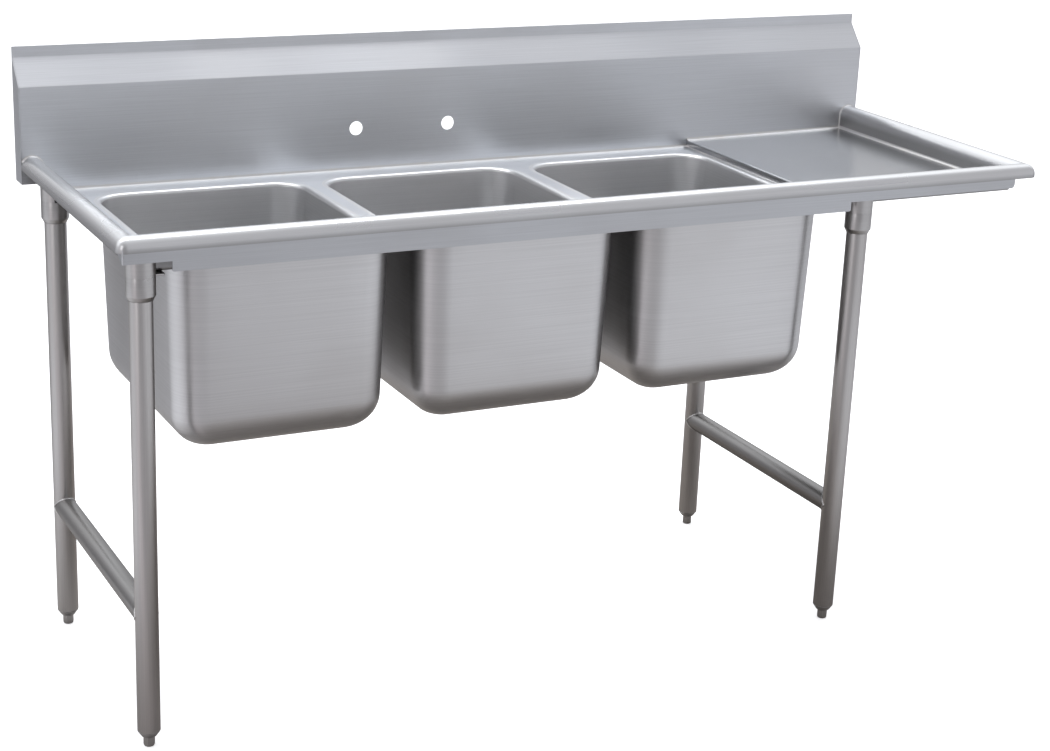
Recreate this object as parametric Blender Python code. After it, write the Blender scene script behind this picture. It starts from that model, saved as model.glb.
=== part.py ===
"""Three compartment sink with a right-hand drainboard, as separate sheet-metal and tube parts.

Units are metres, +Z is up and the floor is Z = 0. The user stands on the -Y side.
Lengths along X are measured from the sink's left end and lengths along Y from its front edge;
PLACE moves them so that the whole sink is centred on the origin.
"""
import math

import bmesh
import bpy
from mathutils import Vector

# --- driving sizes ---------------------------------------------------------------------------
SHEET = 0.0016              # 16 gauge sheet
GAP = 0.0003                # space between pieces that are welded, seated or butted together

BOWL_COUNT = 3
BOWL_WIDTH = 0.4064         # mouth, left to right
BOWL_LENGTH = 0.508         # mouth, front to back
BOWL_DEPTH = 0.3556         # deck surface to bowl floor
BOWL_BETWEEN = 0.0508       # from one mouth to the next
BOWL_CORNER = 0.060         # upright corner radius at the mouth
CORNER_TAPER = 0.65         # share of each step inward that comes off that radius
BOWL_FLOOR_RADIUS = 0.068   # radius between wall and floor
BOWL_DRAFT = 0.010          # how far each wall leans in over its height
MOUTH_RADIUS = 0.008        # rolled edge between deck and bowl wall
BOWL_FLANGE = 0.006         # flat flange round the rolled edge

DECK_HEIGHT = 0.873         # floor to the deck's upper surface
DECK_STRIP_LEFT = 0.055     # flat deck left of the first bowl's flange
DECK_STRIP_FRONT = 0.006    # flat deck in front of the bowls' flanges
DECK_STRIP_BACK = 0.048     # flat deck behind the bowls' flanges

RIM_RADIUS = 0.0206         # rolled rim, outer radius
RIM_RISE = 0.069            # deck surface to the top of the roll
RIM_LIP = 0.005             # straight edge below the roll
RIM_COVE = 0.006            # radius between the rim's inner wall and the deck
RIM_TOE = 0.004             # flat toe of the rim at deck level

BOARD_LENGTH = 0.4037       # drainboard surface, riser to right rim
BOARD_STEP = 0.014          # drainboard above the deck at the riser
BOARD_FALL = 0.005          # extra height at its right end, so that it drains to the bowls
BOARD_EDGE_RADIUS = 0.004   # rounded top edge of the riser
BOARD_MARGIN = 0.0045       # from the last bowl's flange to the riser
BOARD_LAP = 0.010           # deck that runs on under the riser

SPLASH_RISE = 0.270         # deck surface to the top of the backsplash
SPLASH_DEPTH = 0.0445       # backsplash, front to back
TILE_EDGE = 0.020           # upright strip along the top of the backsplash
SPLASH_SLOPE_RISE = 0.050   # height of the sloped return below that strip
SPLASH_END_RISE = 0.015     # deck surface to the lower edge of the backsplash's ends
FAUCET_HOLE_RADIUS = 0.0143
FAUCET_HOLE_SPACING = 0.2032
FAUCET_HOLE_RISE = 0.085    # deck surface to the hole centres

APRON_DROP = 0.0235         # roll centre to the apron's lower edge
APRON_DEEP_DROP = 0.018     # how much lower its long middle stretch hangs
APRON_TUCK = 0.0012         # how far its top edge stands up behind the roll
APRON_LEFT = 0.008          # apron's left end
APRON_RIGHT = 0.057         # apron's right end to the sink's right end
APRON_RETURN = 0.036        # side return at the left end
APRON_CORNER = 0.008        # rounded lower right corner
APRON_GUSSET_LEFT = 0.021   # from the left gusset to the start of the deep stretch
APRON_GUSSET_RIGHT = 0.014  # from the end of the deep stretch to the right gusset

LEG_RADIUS = 0.02065        # 1-5/8 in tube
TUBE_WALL = 0.0016
LEG_LEFT = 0.046            # left end to the left legs' axis
LEG_RIGHT = 0.030           # riser to the right legs' axis
LEG_REAR = 0.062            # splash face to the rear legs' axis
LEG_TOP_CLEARANCE = 0.002   # under the gusset's plate
RAIL_HEIGHT = 0.254         # floor to the cross rails' axis

GUSSET_WALL = 0.0049
GUSSET_FIT = 0.0004         # round the leg, inside the gusset
GUSSET_DROP = 0.0424        # deck's underside to the gusset's lower end
GUSSET_CHAMFER = 0.008
GUSSET_PLATE = 0.003        # thickness of the welding plate
GUSSET_PLATE_HALF = 0.024
GUSSET_PLATE_INBOARD = 0.042
GUSSET_LAP = 0.0026         # how far a front gusset's plate laps under the deck behind the rim
GUSSET_UP = 0.034           # how far the left gussets run up inside the rim
SCREW_RADIUS = 0.004
SCREW_FIT = 0.0003
SCREW_DROP = 0.018          # set screw above the gusset's lower end
SCREW_LENGTH = 0.007
SCREW_SOCKET = 0.0022       # radius of the hex socket
SCREW_SOCKET_DEPTH = 0.003

CHANNEL_WIDTH = 0.060

HEX_HEIGHT = 0.020          # adjustable foot's hexagon
HEX_RADIUS = 0.0108         # across the corners, halved
FOOT_PAD_RADIUS = 0.0068    # flat that stands on the floor
FOOT_ROUNDING = 0.005
STEM_RADIUS = 0.0063
STEM_FIT = 0.0004
STEM_LENGTH = 0.040
INSERT_COLLAR = 0.0107      # tapered collar below the leg
INSERT_TAPER_RADIUS = 0.0135
INSERT_PLUG = 0.024         # length inside the leg
INSERT_FIT = 0.0003

DRAIN_RECESS_RADIUS = 0.0570
DRAIN_RECESS_DEPTH = 0.003
DRAIN_HOLE_RADIUS = 0.0445  # 3-1/2 in opening
DRAIN_WALL = 0.0015
DRAIN_FIT = 0.0006          # between the bowl's hole and the drain cup
DRAIN_FLANGE_INSET = 0.0025
DRAIN_CUP_DEPTH = 0.034
DRAIN_NECK_RADIUS = 0.0241
DRAIN_NECK_LENGTH = 0.016
DRAIN_CONE = 0.006
GASKET_THICKNESS = 0.002
NUT_THICKNESS = 0.009
NUT_RING = 0.011
NUT_FIT = 0.0004
BASKET_FIT = 0.0009
BASKET_WALL = 0.0012
BASKET_HEIGHT = 0.024
BASKET_HOLES = 6
BASKET_HOLE_RADIUS = 0.0045
BASKET_HOLE_RING = 0.024
BASKET_FLOOR_RISE = 0.0012  # basket's floor above the cup's cone
KNOB_POST_RADIUS = 0.0035
KNOB_RADIUS = 0.009
KNOB_HEIGHT = 0.009

TUBE_SIDES = 20
SMALL_SIDES = 16
CORNER_STEPS = 5            # facets in each rounded corner of a bowl
ROLL_STEPS = 10             # facets round the rolled rim
COVE_STEPS = 3
FLOOR_STEPS = 3             # facets between bowl wall and floor
MOUTH_STEPS = 3

# --- sizes that follow -----------------------------------------------------------------------
DECK_UNDER = DECK_HEIGHT - SHEET
RIM_WIDTH = 2 * RIM_RADIUS
RIM_INSIDE = RIM_WIDTH - SHEET
RIM_CENTRE = DECK_HEIGHT + RIM_RISE - RIM_RADIUS
RIM_FOOTPRINT = RIM_WIDTH + RIM_COVE + RIM_TOE
MOUTH_BORDER = MOUTH_RADIUS + BOWL_FLANGE
BOWL_PITCH = BOWL_WIDTH + BOWL_BETWEEN

FIRST_BOWL = RIM_FOOTPRINT + DECK_STRIP_LEFT + MOUTH_BORDER
BOWL_FRONT = RIM_FOOTPRINT + DECK_STRIP_FRONT + MOUTH_BORDER
SPLASH_FACE = BOWL_FRONT + BOWL_LENGTH + MOUTH_BORDER + DECK_STRIP_BACK
LAST_BOWL_END = FIRST_BOWL + (BOWL_COUNT - 1) * BOWL_PITCH + BOWL_WIDTH
RISER = LAST_BOWL_END + MOUTH_BORDER + BOARD_MARGIN
OVERALL_LENGTH = RISER + BOARD_LENGTH + RIM_WIDTH
OVERALL_DEPTH = SPLASH_FACE + SPLASH_DEPTH
SPLASH_TOP = DECK_HEIGHT + SPLASH_RISE
BOWL_CENTRES = [FIRST_BOWL + BOWL_WIDTH / 2 + i * BOWL_PITCH for i in range(BOWL_COUNT)]
BOWL_MIDDLE = BOWL_FRONT + BOWL_LENGTH / 2
BOWL_FLOOR = DECK_HEIGHT - BOWL_DEPTH
BOWL_NAMES = ["left", "middle", "right"]

GUSSET_BORE = LEG_RADIUS + GUSSET_FIT
GUSSET_RADIUS = GUSSET_BORE + GUSSET_WALL
APRON_FACE = SHEET + GAP
GUSSET_TOP = DECK_UNDER - GAP
GUSSET_BOTTOM = DECK_UNDER - GUSSET_DROP
LEG_FRONT_Y = APRON_FACE + SHEET + GAP + GUSSET_RADIUS
LEG_REAR_Y = SPLASH_FACE - LEG_REAR
LEG_RIGHT_X = RISER + LEG_RIGHT
LEG_BOTTOM = HEX_HEIGHT + GAP + INSERT_COLLAR + GAP
LEG_TOP = GUSSET_TOP - GUSSET_PLATE - LEG_TOP_CLEARANCE
LEGS = {
    "front_left": (LEG_LEFT, LEG_FRONT_Y),
    "rear_left": (LEG_LEFT, LEG_REAR_Y),
    "front_right": (LEG_RIGHT_X, LEG_FRONT_Y),
    "rear_right": (LEG_RIGHT_X, LEG_REAR_Y),
}

PLACE = Vector((-OVERALL_LENGTH / 2, -OVERALL_DEPTH / 2, 0.0))


# --- materials -------------------------------------------------------------------------------
def make_material(name, colour, roughness, metallic):
    """A plain Principled material."""
    material = bpy.data.materials.new(name)
    material.use_nodes = True
    shader = material.node_tree.nodes["Principled BSDF"]
    shader.inputs["Base Color"].default_value = (*colour, 1.0)
    shader.inputs["Roughness"].default_value = roughness
    shader.inputs["Metallic"].default_value = metallic
    material.diffuse_color = (*colour, 1.0)
    return material


def finish_for(name):
    """Colour, roughness and metallic value of a piece, by what it is made of."""
    if "gasket" in name:
        return (0.03, 0.03, 0.03), 0.8, 0.0
    if "leg" in name or "rail" in name or "gusset" in name:
        return (0.42, 0.41, 0.40), 0.38, 1.0
    if "drain" in name or "foot" in name or "insert" in name or "screw" in name:
        return (0.55, 0.54, 0.52), 0.25, 1.0
    return (0.52, 0.53, 0.55), 0.32, 1.0


# --- modelling helpers -----------------------------------------------------------------------
def add_object(name, bm, origin=(0.0, 0.0, 0.0), smooth=False, closed=True):
    """Turn a bmesh drawn round its own origin into a named, placed object with its material."""
    if closed:
        bmesh.ops.recalc_face_normals(bm, faces=bm.faces)
    mesh = bpy.data.meshes.new(name)
    bm.to_mesh(mesh)
    bm.free()
    if smooth:
        mesh.shade_smooth()
        mesh.set_sharp_from_angle(angle=math.radians(35))
    obj = bpy.data.objects.new(name, mesh)
    obj.location = PLACE + Vector(origin)
    mesh.materials.append(make_material(name + "_finish", *finish_for(name)))
    bpy.context.collection.objects.link(obj)
    return obj


def add_boolean(obj, other, operation):
    """Cut or join another object that only guides this one."""
    modifier = obj.modifiers.new(operation.lower() + "_" + other.name, "BOOLEAN")
    modifier.operation = operation
    modifier.solver = "EXACT"
    modifier.object = other
    other.hide_render = True
    other.display_type = "WIRE"


def box(low, high):
    """A closed box between two corners."""
    bm = bmesh.new()
    bmesh.ops.create_cube(bm, size=1.0)
    low, high = Vector(low), Vector(high)
    for vert in bm.verts:
        vert.co = Vector(low[i] + (vert.co[i] + 0.5) * (high[i] - low[i]) for i in range(3))
    return bm


def prism(outline, place, low, high):
    """A flat outline pushed from low to high; place(u, v, w) gives each corner's position."""
    bm = bmesh.new()
    ends = [[bm.verts.new(place(u, v, w)) for u, v in outline] for w in (low, high)]
    count = len(outline)
    bm.faces.new(ends[0])
    bm.faces.new(ends[1])
    for i in range(count):
        j = (i + 1) % count
        bm.faces.new((ends[0][i], ends[0][j], ends[1][j], ends[1][i]))
    return bm


def along_x(y, z, x):
    """Place a Y-Z outline along X."""
    return (x, y, z)


def along_y(x, z, y):
    """Place an X-Z outline along Y."""
    return (x, y, z)


def turned(profile, sides, axis="Z"):
    """A closed profile of (radius, height) points spun once round its axis."""
    bm = bmesh.new()
    points = [bm.verts.new((radius, 0.0, height)) for radius, height in profile]
    edges = [bm.edges.new((points[i], points[(i + 1) % len(points)])) for i in range(len(points))]
    bmesh.ops.spin(bm, geom=edges + points, axis=(0, 0, 1), cent=(0, 0, 0),
                   angle=2 * math.pi, steps=sides, use_merge=True)
    bmesh.ops.remove_doubles(bm, verts=bm.verts, dist=1e-6)
    bmesh.ops.dissolve_degenerate(bm, dist=1e-6, edges=bm.edges)
    if axis == "Y":
        for vert in bm.verts:
            vert.co = Vector((vert.co.x, vert.co.z, -vert.co.y))
    return bm


def arc(centre, radius, start, end, steps):
    """Points of a circular arc, angles in degrees, both ends included."""
    turns = [math.radians(start + (end - start) * i / steps) for i in range(steps + 1)]
    return [(centre[0] + radius * math.cos(t), centre[1] + radius * math.sin(t)) for t in turns]


def thick_outline(line, thickness):
    """Close an open line into a sheet's outline: the line, and its copy moved to its right."""
    far = []
    for i, point in enumerate(line):
        before = line[max(i - 1, 0)]
        after = line[min(i + 1, len(line) - 1)]
        into = Vector((point[0] - before[0], point[1] - before[1]))
        out = Vector((after[0] - point[0], after[1] - point[1]))
        into = (into if into.length > 0 else out).normalized()
        out = (out if out.length > 0 else into).normalized()
        side_in = Vector((into.y, -into.x))
        side_out = Vector((out.y, -out.x))
        mitre = (side_in + side_out).normalized()
        far.append(tuple(Vector(point) + mitre * (thickness / mitre.dot(side_in))))
    return list(line) + far[::-1]


def rounded_rectangle(half_x, half_y, radius, steps):
    """Points round a rectangle with rounded corners, anticlockwise from its right side."""
    points = []
    for corner, (sign_x, sign_y) in enumerate([(1, 1), (-1, 1), (-1, -1), (1, -1)]):
        centre = (sign_x * (half_x - radius), sign_y * (half_y - radius))
        points += arc(centre, radius, corner * 90, corner * 90 + 90, steps)
    return points


# --- rims ------------------------------------------------------------------------------------
def rim_line():
    """The rim's upper surface as (distance in from the edge, height), from its lip to its toe."""
    roll = arc((RIM_RADIUS, RIM_CENTRE), RIM_RADIUS, 180, 0, ROLL_STEPS)
    cove = arc((RIM_WIDTH + RIM_COVE, DECK_HEIGHT + RIM_COVE), RIM_COVE, 180, 270, COVE_STEPS)
    return [(0.0, RIM_CENTRE - RIM_LIP)] + roll + cove + [(RIM_FOOTPRINT, DECK_HEIGHT)]


def build_rims():
    """Front and side rims, mitred at the two front corners."""
    section = thick_outline(rim_line(), SHEET)

    def front(inward, height, end):
        reach = inward + GAP
        return (reach if end == 0 else OVERALL_LENGTH - reach, inward, height)

    def left(inward, height, end):
        return (inward, inward if end == 0 else SPLASH_FACE - GAP, height)

    def right(inward, height, end):
        return (OVERALL_LENGTH - inward, inward if end == 0 else SPLASH_FACE - GAP, height)

    for name, place in (("front_rim", front), ("left_rim", left), ("right_rim", right)):
        add_object(name, prism(section, place, 0, 1), smooth=True)


# --- deck, bowls and drainboard --------------------------------------------------------------
def build_deck():
    """Flat deck between the rims, with an opening for each bowl's flange."""
    edge = RIM_FOOTPRINT + GAP
    deck = add_object("deck_panel", box((edge, edge, DECK_UNDER),
                                        (RISER + BOARD_LAP, SPLASH_FACE - GAP, DECK_HEIGHT)))
    border = MOUTH_BORDER + GAP
    opening = rounded_rectangle(BOWL_WIDTH / 2 + border, BOWL_LENGTH / 2 + border,
                                BOWL_CORNER + border, CORNER_STEPS)
    for name, centre in zip(BOWL_NAMES, BOWL_CENTRES):
        cutter = add_object(name + "_opening_cutter", prism(
            opening, lambda x, y, z: (x, y, z), DECK_UNDER - SHEET, DECK_HEIGHT + SHEET),
            origin=(centre, BOWL_MIDDLE, 0.0))
        add_boolean(deck, cutter, "DIFFERENCE")


def bowl_line():
    """The bowl's inner surface as (distance in from the mouth, height above the bowl's floor)."""
    bottom = BOWL_DRAFT + BOWL_FLOOR_RADIUS
    mouth = arc((-MOUTH_RADIUS, BOWL_DEPTH - MOUTH_RADIUS), MOUTH_RADIUS, 90, 0, MOUTH_STEPS)
    curve = arc((bottom, BOWL_FLOOR_RADIUS), BOWL_FLOOR_RADIUS, 180, 270, FLOOR_STEPS + 1)
    return [(-MOUTH_BORDER, BOWL_DEPTH)] + mouth + curve


def build_bowl(name, centre):
    """Deep-drawn bowl: rounded rings from flange to floor, then a round recess for the drain."""
    rings = []
    for inward, height in bowl_line():
        corner = BOWL_CORNER - inward * (CORNER_TAPER if inward > 0 else 1.0)
        rings.append([(x, y, height) for x, y in rounded_rectangle(
            BOWL_WIDTH / 2 - inward, BOWL_LENGTH / 2 - inward, corner, CORNER_STEPS)])
    around = [math.atan2(y, x) for x, y, _ in rings[-1]]
    recess = [(DRAIN_RECESS_RADIUS, 0.0), (DRAIN_RECESS_RADIUS - DRAIN_RECESS_DEPTH / 2,
                                           -DRAIN_RECESS_DEPTH),
              (DRAIN_HOLE_RADIUS, -DRAIN_RECESS_DEPTH)]
    steps = len(around)
    even = [2 * math.pi * (i + 0.5) / steps for i in range(steps)]
    shift = min(range(steps), key=lambda k: sum(
        abs(math.remainder(even[(i + k) % steps] - around[i], 2 * math.pi)) for i in range(steps)))
    for radius, height in recess:
        rings.append([(radius * math.cos(even[(i + shift) % steps]),
                       radius * math.sin(even[(i + shift) % steps]), height)
                      for i in range(steps)])
    bm = bmesh.new()
    loops = [[bm.verts.new(point) for point in ring] for ring in rings]
    for upper, lower in zip(loops, loops[1:]):
        for i in range(steps):
            j = (i + 1) % steps
            bm.faces.new((upper[i], upper[j], lower[j], lower[i]))
    bowl = add_object(name, bm, origin=(centre, BOWL_MIDDLE, BOWL_FLOOR), smooth=True, closed=False)
    wall = bowl.modifiers.new("sheet", "SOLIDIFY")
    wall.thickness = SHEET
    wall.offset = -1.0
    wall.use_even_offset = True


def build_drainboard():
    """Drainboard: a riser that stands on the deck, and a surface that falls towards the bowls."""
    top = DECK_HEIGHT + BOARD_STEP
    right = OVERALL_LENGTH - RIM_WIDTH - GAP
    edge = arc((RISER + BOARD_EDGE_RADIUS, top - BOARD_EDGE_RADIUS), BOARD_EDGE_RADIUS,
               180, 90, COVE_STEPS)
    line = [(RISER, DECK_HEIGHT + GAP)] + edge + [(right, top + BOARD_FALL)]
    board = add_object("drainboard", prism(thick_outline(line, SHEET), along_y,
                                           RIM_WIDTH + GAP, SPLASH_FACE - GAP))
    cove = add_object("riser_cove_cutter", box(
        (RISER - SHEET, 0.0, DECK_HEIGHT - SHEET),
        (RISER + 2 * SHEET, RIM_WIDTH + RIM_COVE, DECK_HEIGHT + RIM_COVE + GAP)))
    add_boolean(board, cove, "DIFFERENCE")


def build_channel():
    """Channel under the drainboard's left end that carries the right legs' gussets."""
    left = RISER + BOARD_LAP + GAP
    slope = BOARD_FALL / (BOARD_LENGTH - BOARD_EDGE_RADIUS)

    def under_board(x):
        """Height of the drainboard's underside at x."""
        rise = (x - RISER - BOARD_EDGE_RADIUS) * slope
        return DECK_HEIGHT + BOARD_STEP + rise - SHEET * math.hypot(1.0, slope) - GAP

    right = left + CHANNEL_WIDTH
    outline = [(left, under_board(left)), (left, DECK_UNDER), (right, DECK_UNDER),
               (right, under_board(right)), (right - SHEET, under_board(right - SHEET)),
               (right - SHEET, DECK_HEIGHT), (left + SHEET, DECK_HEIGHT),
               (left + SHEET, under_board(left + SHEET))]
    add_object("drainboard_channel", prism(outline, along_y, RIM_FOOTPRINT + GAP,
                                           SPLASH_FACE - GAP))


# --- backsplash ------------------------------------------------------------------------------
def splash_line():
    """The backsplash's front surface as (distance from the front edge, height), bottom to top."""
    back = OVERALL_DEPTH - SHEET
    strip = SPLASH_TOP - TILE_EDGE
    bend = strip - SPLASH_SLOPE_RISE
    return [(SPLASH_FACE, DECK_UNDER), (SPLASH_FACE, bend), (back, strip), (back, SPLASH_TOP)]


def build_backsplash():
    """Folded backsplash with two faucet holes, and the plates that close its ends."""
    section = thick_outline(splash_line(), SHEET)
    side = SHEET + GAP
    splash = add_object("backsplash", prism(section, along_x, side, OVERALL_LENGTH - side))
    end_bottom = DECK_HEIGHT + SPLASH_END_RISE
    for label, low, high in (("left", -SHEET, RIM_INSIDE - GAP),
                             ("right", OVERALL_LENGTH - RIM_INSIDE + GAP, OVERALL_LENGTH + SHEET)):
        cutter = add_object("splash_" + label + "_corner_cutter", box(
            (low, SPLASH_FACE - SHEET, DECK_UNDER - SHEET),
            (high, OVERALL_DEPTH, end_bottom)))
        add_boolean(splash, cutter, "DIFFERENCE")
    middle = BOWL_CENTRES[len(BOWL_CENTRES) // 2]
    for label, side_of in (("left", -0.5), ("right", 0.5)):
        hole = turned([(0.0, -SHEET), (FAUCET_HOLE_RADIUS, -SHEET),
                       (FAUCET_HOLE_RADIUS, 2 * SHEET), (0.0, 2 * SHEET)], TUBE_SIDES, axis="Y")
        cutter = add_object("faucet_" + label + "_cutter", hole, origin=(
            middle + side_of * FAUCET_HOLE_SPACING, SPLASH_FACE, DECK_HEIGHT + FAUCET_HOLE_RISE))
        add_boolean(splash, cutter, "DIFFERENCE")
    _, bend, strip, top = splash_line()
    plate = [(SPLASH_FACE, end_bottom), bend, strip, top,
             (OVERALL_DEPTH, SPLASH_TOP), (OVERALL_DEPTH, end_bottom)]
    add_object("left_splash_end", prism(plate, along_x, 0.0, SHEET))
    add_object("right_splash_end", prism(plate, along_x, OVERALL_LENGTH - SHEET, OVERALL_LENGTH))


# --- front apron -----------------------------------------------------------------------------
def build_apron():
    """Apron that hangs behind the roll's lip, deeper between the gussets."""
    top = RIM_CENTRE + APRON_TUCK
    shallow = RIM_CENTRE - APRON_DROP
    deep = shallow - APRON_DEEP_DROP
    right = OVERALL_LENGTH - APRON_RIGHT
    deep_left = LEG_LEFT + GUSSET_RADIUS + APRON_GUSSET_LEFT
    deep_right = LEG_RIGHT_X - GUSSET_RADIUS - APRON_GUSSET_RIGHT
    corner = arc((right - APRON_CORNER, shallow + APRON_CORNER), APRON_CORNER, -90, 0, COVE_STEPS)
    outline = [(APRON_LEFT, top), (APRON_LEFT, shallow), (deep_left, shallow), (deep_left, deep),
               (deep_right, deep), (deep_right, shallow)] + corner + [(right, top)]
    apron = add_object("front_apron", prism(outline, along_y, APRON_FACE, APRON_FACE + SHEET))
    flank = [(APRON_FACE, top), (APRON_FACE, shallow), (APRON_FACE + SHEET, shallow),
             (APRON_FACE + APRON_RETURN, RIM_CENTRE - RIM_LIP), (APRON_FACE + APRON_RETURN, top)]
    side = add_object("apron_return_guide", prism(flank, along_x, APRON_LEFT, APRON_LEFT + SHEET))
    add_boolean(apron, side, "UNION")


# --- legs ------------------------------------------------------------------------------------
def build_gusset(name, x, y, inside_rim):
    """Leg socket with a welding plate; the left ones run up inside the rim, clear of the deck."""
    bottom, plate = GUSSET_BOTTOM, GUSSET_TOP - GUSSET_PLATE
    top = GUSSET_TOP + (GUSSET_UP if inside_rim else 0.0)
    profile = [(GUSSET_BORE, bottom), (GUSSET_RADIUS - GUSSET_CHAMFER / 2, bottom),
               (GUSSET_RADIUS, bottom + GUSSET_CHAMFER), (GUSSET_RADIUS, top),
               (GUSSET_BORE, top)]
    gusset = add_object(name, turned(profile, TUBE_SIDES), origin=(x, y, 0.0), smooth=True)
    inboard = GUSSET_PLATE_INBOARD if inside_rim else GUSSET_PLATE_HALF
    is_front = y < OVERALL_DEPTH / 2
    back = RIM_FOOTPRINT + GUSSET_LAP if is_front else y + GUSSET_PLATE_HALF
    weld_plate = add_object(name + "_plate_guide", box(
        (x - GUSSET_PLATE_HALF, y - GUSSET_PLATE_HALF, plate),
        (x + inboard, back, GUSSET_TOP)))
    add_boolean(gusset, weld_plate, "UNION")
    if inside_rim:
        front_wall = RIM_INSIDE - GAP if is_front else 0.0
        clear = add_object(name + "_deck_cutter", box(
            (RIM_INSIDE - GAP, front_wall, GUSSET_TOP),
            (x + 2 * GUSSET_RADIUS, y + 2 * GUSSET_RADIUS, top + SHEET)))
        add_boolean(gusset, clear, "DIFFERENCE")
    hole = turned([(0.0, LEG_RADIUS - SHEET), (SCREW_RADIUS + SCREW_FIT, LEG_RADIUS - SHEET),
                   (SCREW_RADIUS + SCREW_FIT, GUSSET_RADIUS + SHEET),
                   (0.0, GUSSET_RADIUS + SHEET)], SMALL_SIDES, axis="Y")
    cutter = add_object(name + "_screw_cutter", hole, origin=(x, y, bottom + SCREW_DROP))
    add_boolean(gusset, cutter, "DIFFERENCE")


def build_set_screw(name, x, y):
    """Set screw that clamps the leg in its gusset, with a hex socket in its outer end."""
    start = LEG_RADIUS + GAP
    end = start + SCREW_LENGTH
    body = turned([(0.0, start), (SCREW_RADIUS, start), (SCREW_RADIUS, end), (0.0, end)],
                  SMALL_SIDES, axis="Y")
    height = GUSSET_BOTTOM + SCREW_DROP
    screw = add_object(name, body, origin=(x, y, height), smooth=True)
    socket = turned([(0.0, end - SCREW_SOCKET_DEPTH), (SCREW_SOCKET, end - SCREW_SOCKET_DEPTH),
                     (SCREW_SOCKET, end + SHEET), (0.0, end + SHEET)], 6, axis="Y")
    cutter = add_object(name + "_socket_cutter", socket, origin=(x, y, height))
    add_boolean(screw, cutter, "DIFFERENCE")


def build_leg(name, x, y):
    """Leg tube from its insert up into the gusset."""
    inner = LEG_RADIUS - TUBE_WALL
    profile = [(inner, LEG_BOTTOM), (LEG_RADIUS, LEG_BOTTOM), (LEG_RADIUS, LEG_TOP),
               (inner, LEG_TOP)]
    add_object(name, turned(profile, TUBE_SIDES), origin=(x, y, 0.0), smooth=True)


def build_insert(name, x, y):
    """Threaded plug in the leg's end, with a tapered collar and a bore for the foot's stem."""
    bore = STEM_RADIUS + STEM_FIT
    plug = LEG_RADIUS - TUBE_WALL - INSERT_FIT
    low = HEX_HEIGHT + GAP
    high = low + INSERT_COLLAR
    profile = [(bore, low), (INSERT_TAPER_RADIUS, low), (LEG_RADIUS, high - GAP),
               (LEG_RADIUS, high), (plug, high), (plug, high + INSERT_PLUG),
               (bore, high + INSERT_PLUG)]
    add_object(name, turned(profile, SMALL_SIDES), origin=(x, y, 0.0), smooth=True)


def build_foot(name, x, y):
    """Adjustable foot: a threaded stem, a hexagon and a rounded end with a flat pad."""
    steps = 12
    flat = HEX_RADIUS * math.cos(math.pi / 6)
    rings = []
    for radius, height in ((FOOT_PAD_RADIUS, 0.0), (flat, FOOT_ROUNDING)):
        rings.append([(radius, height)] * steps)
    for height in (FOOT_ROUNDING + SHEET, HEX_HEIGHT):
        rings.append([(HEX_RADIUS if i % 2 == 0 else flat, height) for i in range(steps)])
    for height in (HEX_HEIGHT, HEX_HEIGHT + STEM_LENGTH):
        rings.append([(STEM_RADIUS, height)] * steps)
    bm = bmesh.new()
    loops = []
    for ring in rings:
        turns = [2 * math.pi * i / steps for i in range(steps)]
        loops.append([bm.verts.new((radius * math.cos(t), radius * math.sin(t), height))
                      for t, (radius, height) in zip(turns, ring)])
    bm.faces.new(loops[0])
    bm.faces.new(loops[-1])
    for lower, upper in zip(loops, loops[1:]):
        for i in range(steps):
            j = (i + 1) % steps
            bm.faces.new((lower[i], lower[j], upper[j], upper[i]))
    add_object(name, bm, origin=(x, y, 0.0), smooth=True)


def build_rail(name, x):
    """Cross rail between a front and a rear leg, its ends shaped to the legs."""
    inner = LEG_RADIUS - TUBE_WALL
    profile = [(inner, LEG_FRONT_Y), (LEG_RADIUS, LEG_FRONT_Y), (LEG_RADIUS, LEG_REAR_Y),
               (inner, LEG_REAR_Y)]
    rail = add_object(name, turned(profile, TUBE_SIDES, axis="Y"), origin=(x, 0.0, RAIL_HEIGHT),
                      smooth=True)
    reach = 2 * LEG_RADIUS
    around = LEG_RADIUS + GAP
    for end, y in (("front", LEG_FRONT_Y), ("rear", LEG_REAR_Y)):
        cutter = add_object(name + "_" + end + "_cutter", turned(
            [(0.0, RAIL_HEIGHT - reach), (around, RAIL_HEIGHT - reach),
             (around, RAIL_HEIGHT + reach), (0.0, RAIL_HEIGHT + reach)], TUBE_SIDES),
            origin=(x, y, 0.0))
        add_boolean(rail, cutter, "DIFFERENCE")


def build_legs():
    """Four legs with their gussets, set screws, inserts and feet, and two cross rails."""
    for corner, (x, y) in LEGS.items():
        build_gusset(corner + "_gusset", x, y, inside_rim=corner.endswith("left"))
        build_set_screw(corner + "_set_screw", x, y)
        build_leg(corner + "_leg", x, y)
        build_insert(corner + "_leg_insert", x, y)
        build_foot(corner + "_foot", x, y)
    build_rail("left_cross_rail", LEG_LEFT)
    build_rail("right_cross_rail", LEG_RIGHT_X)


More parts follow.
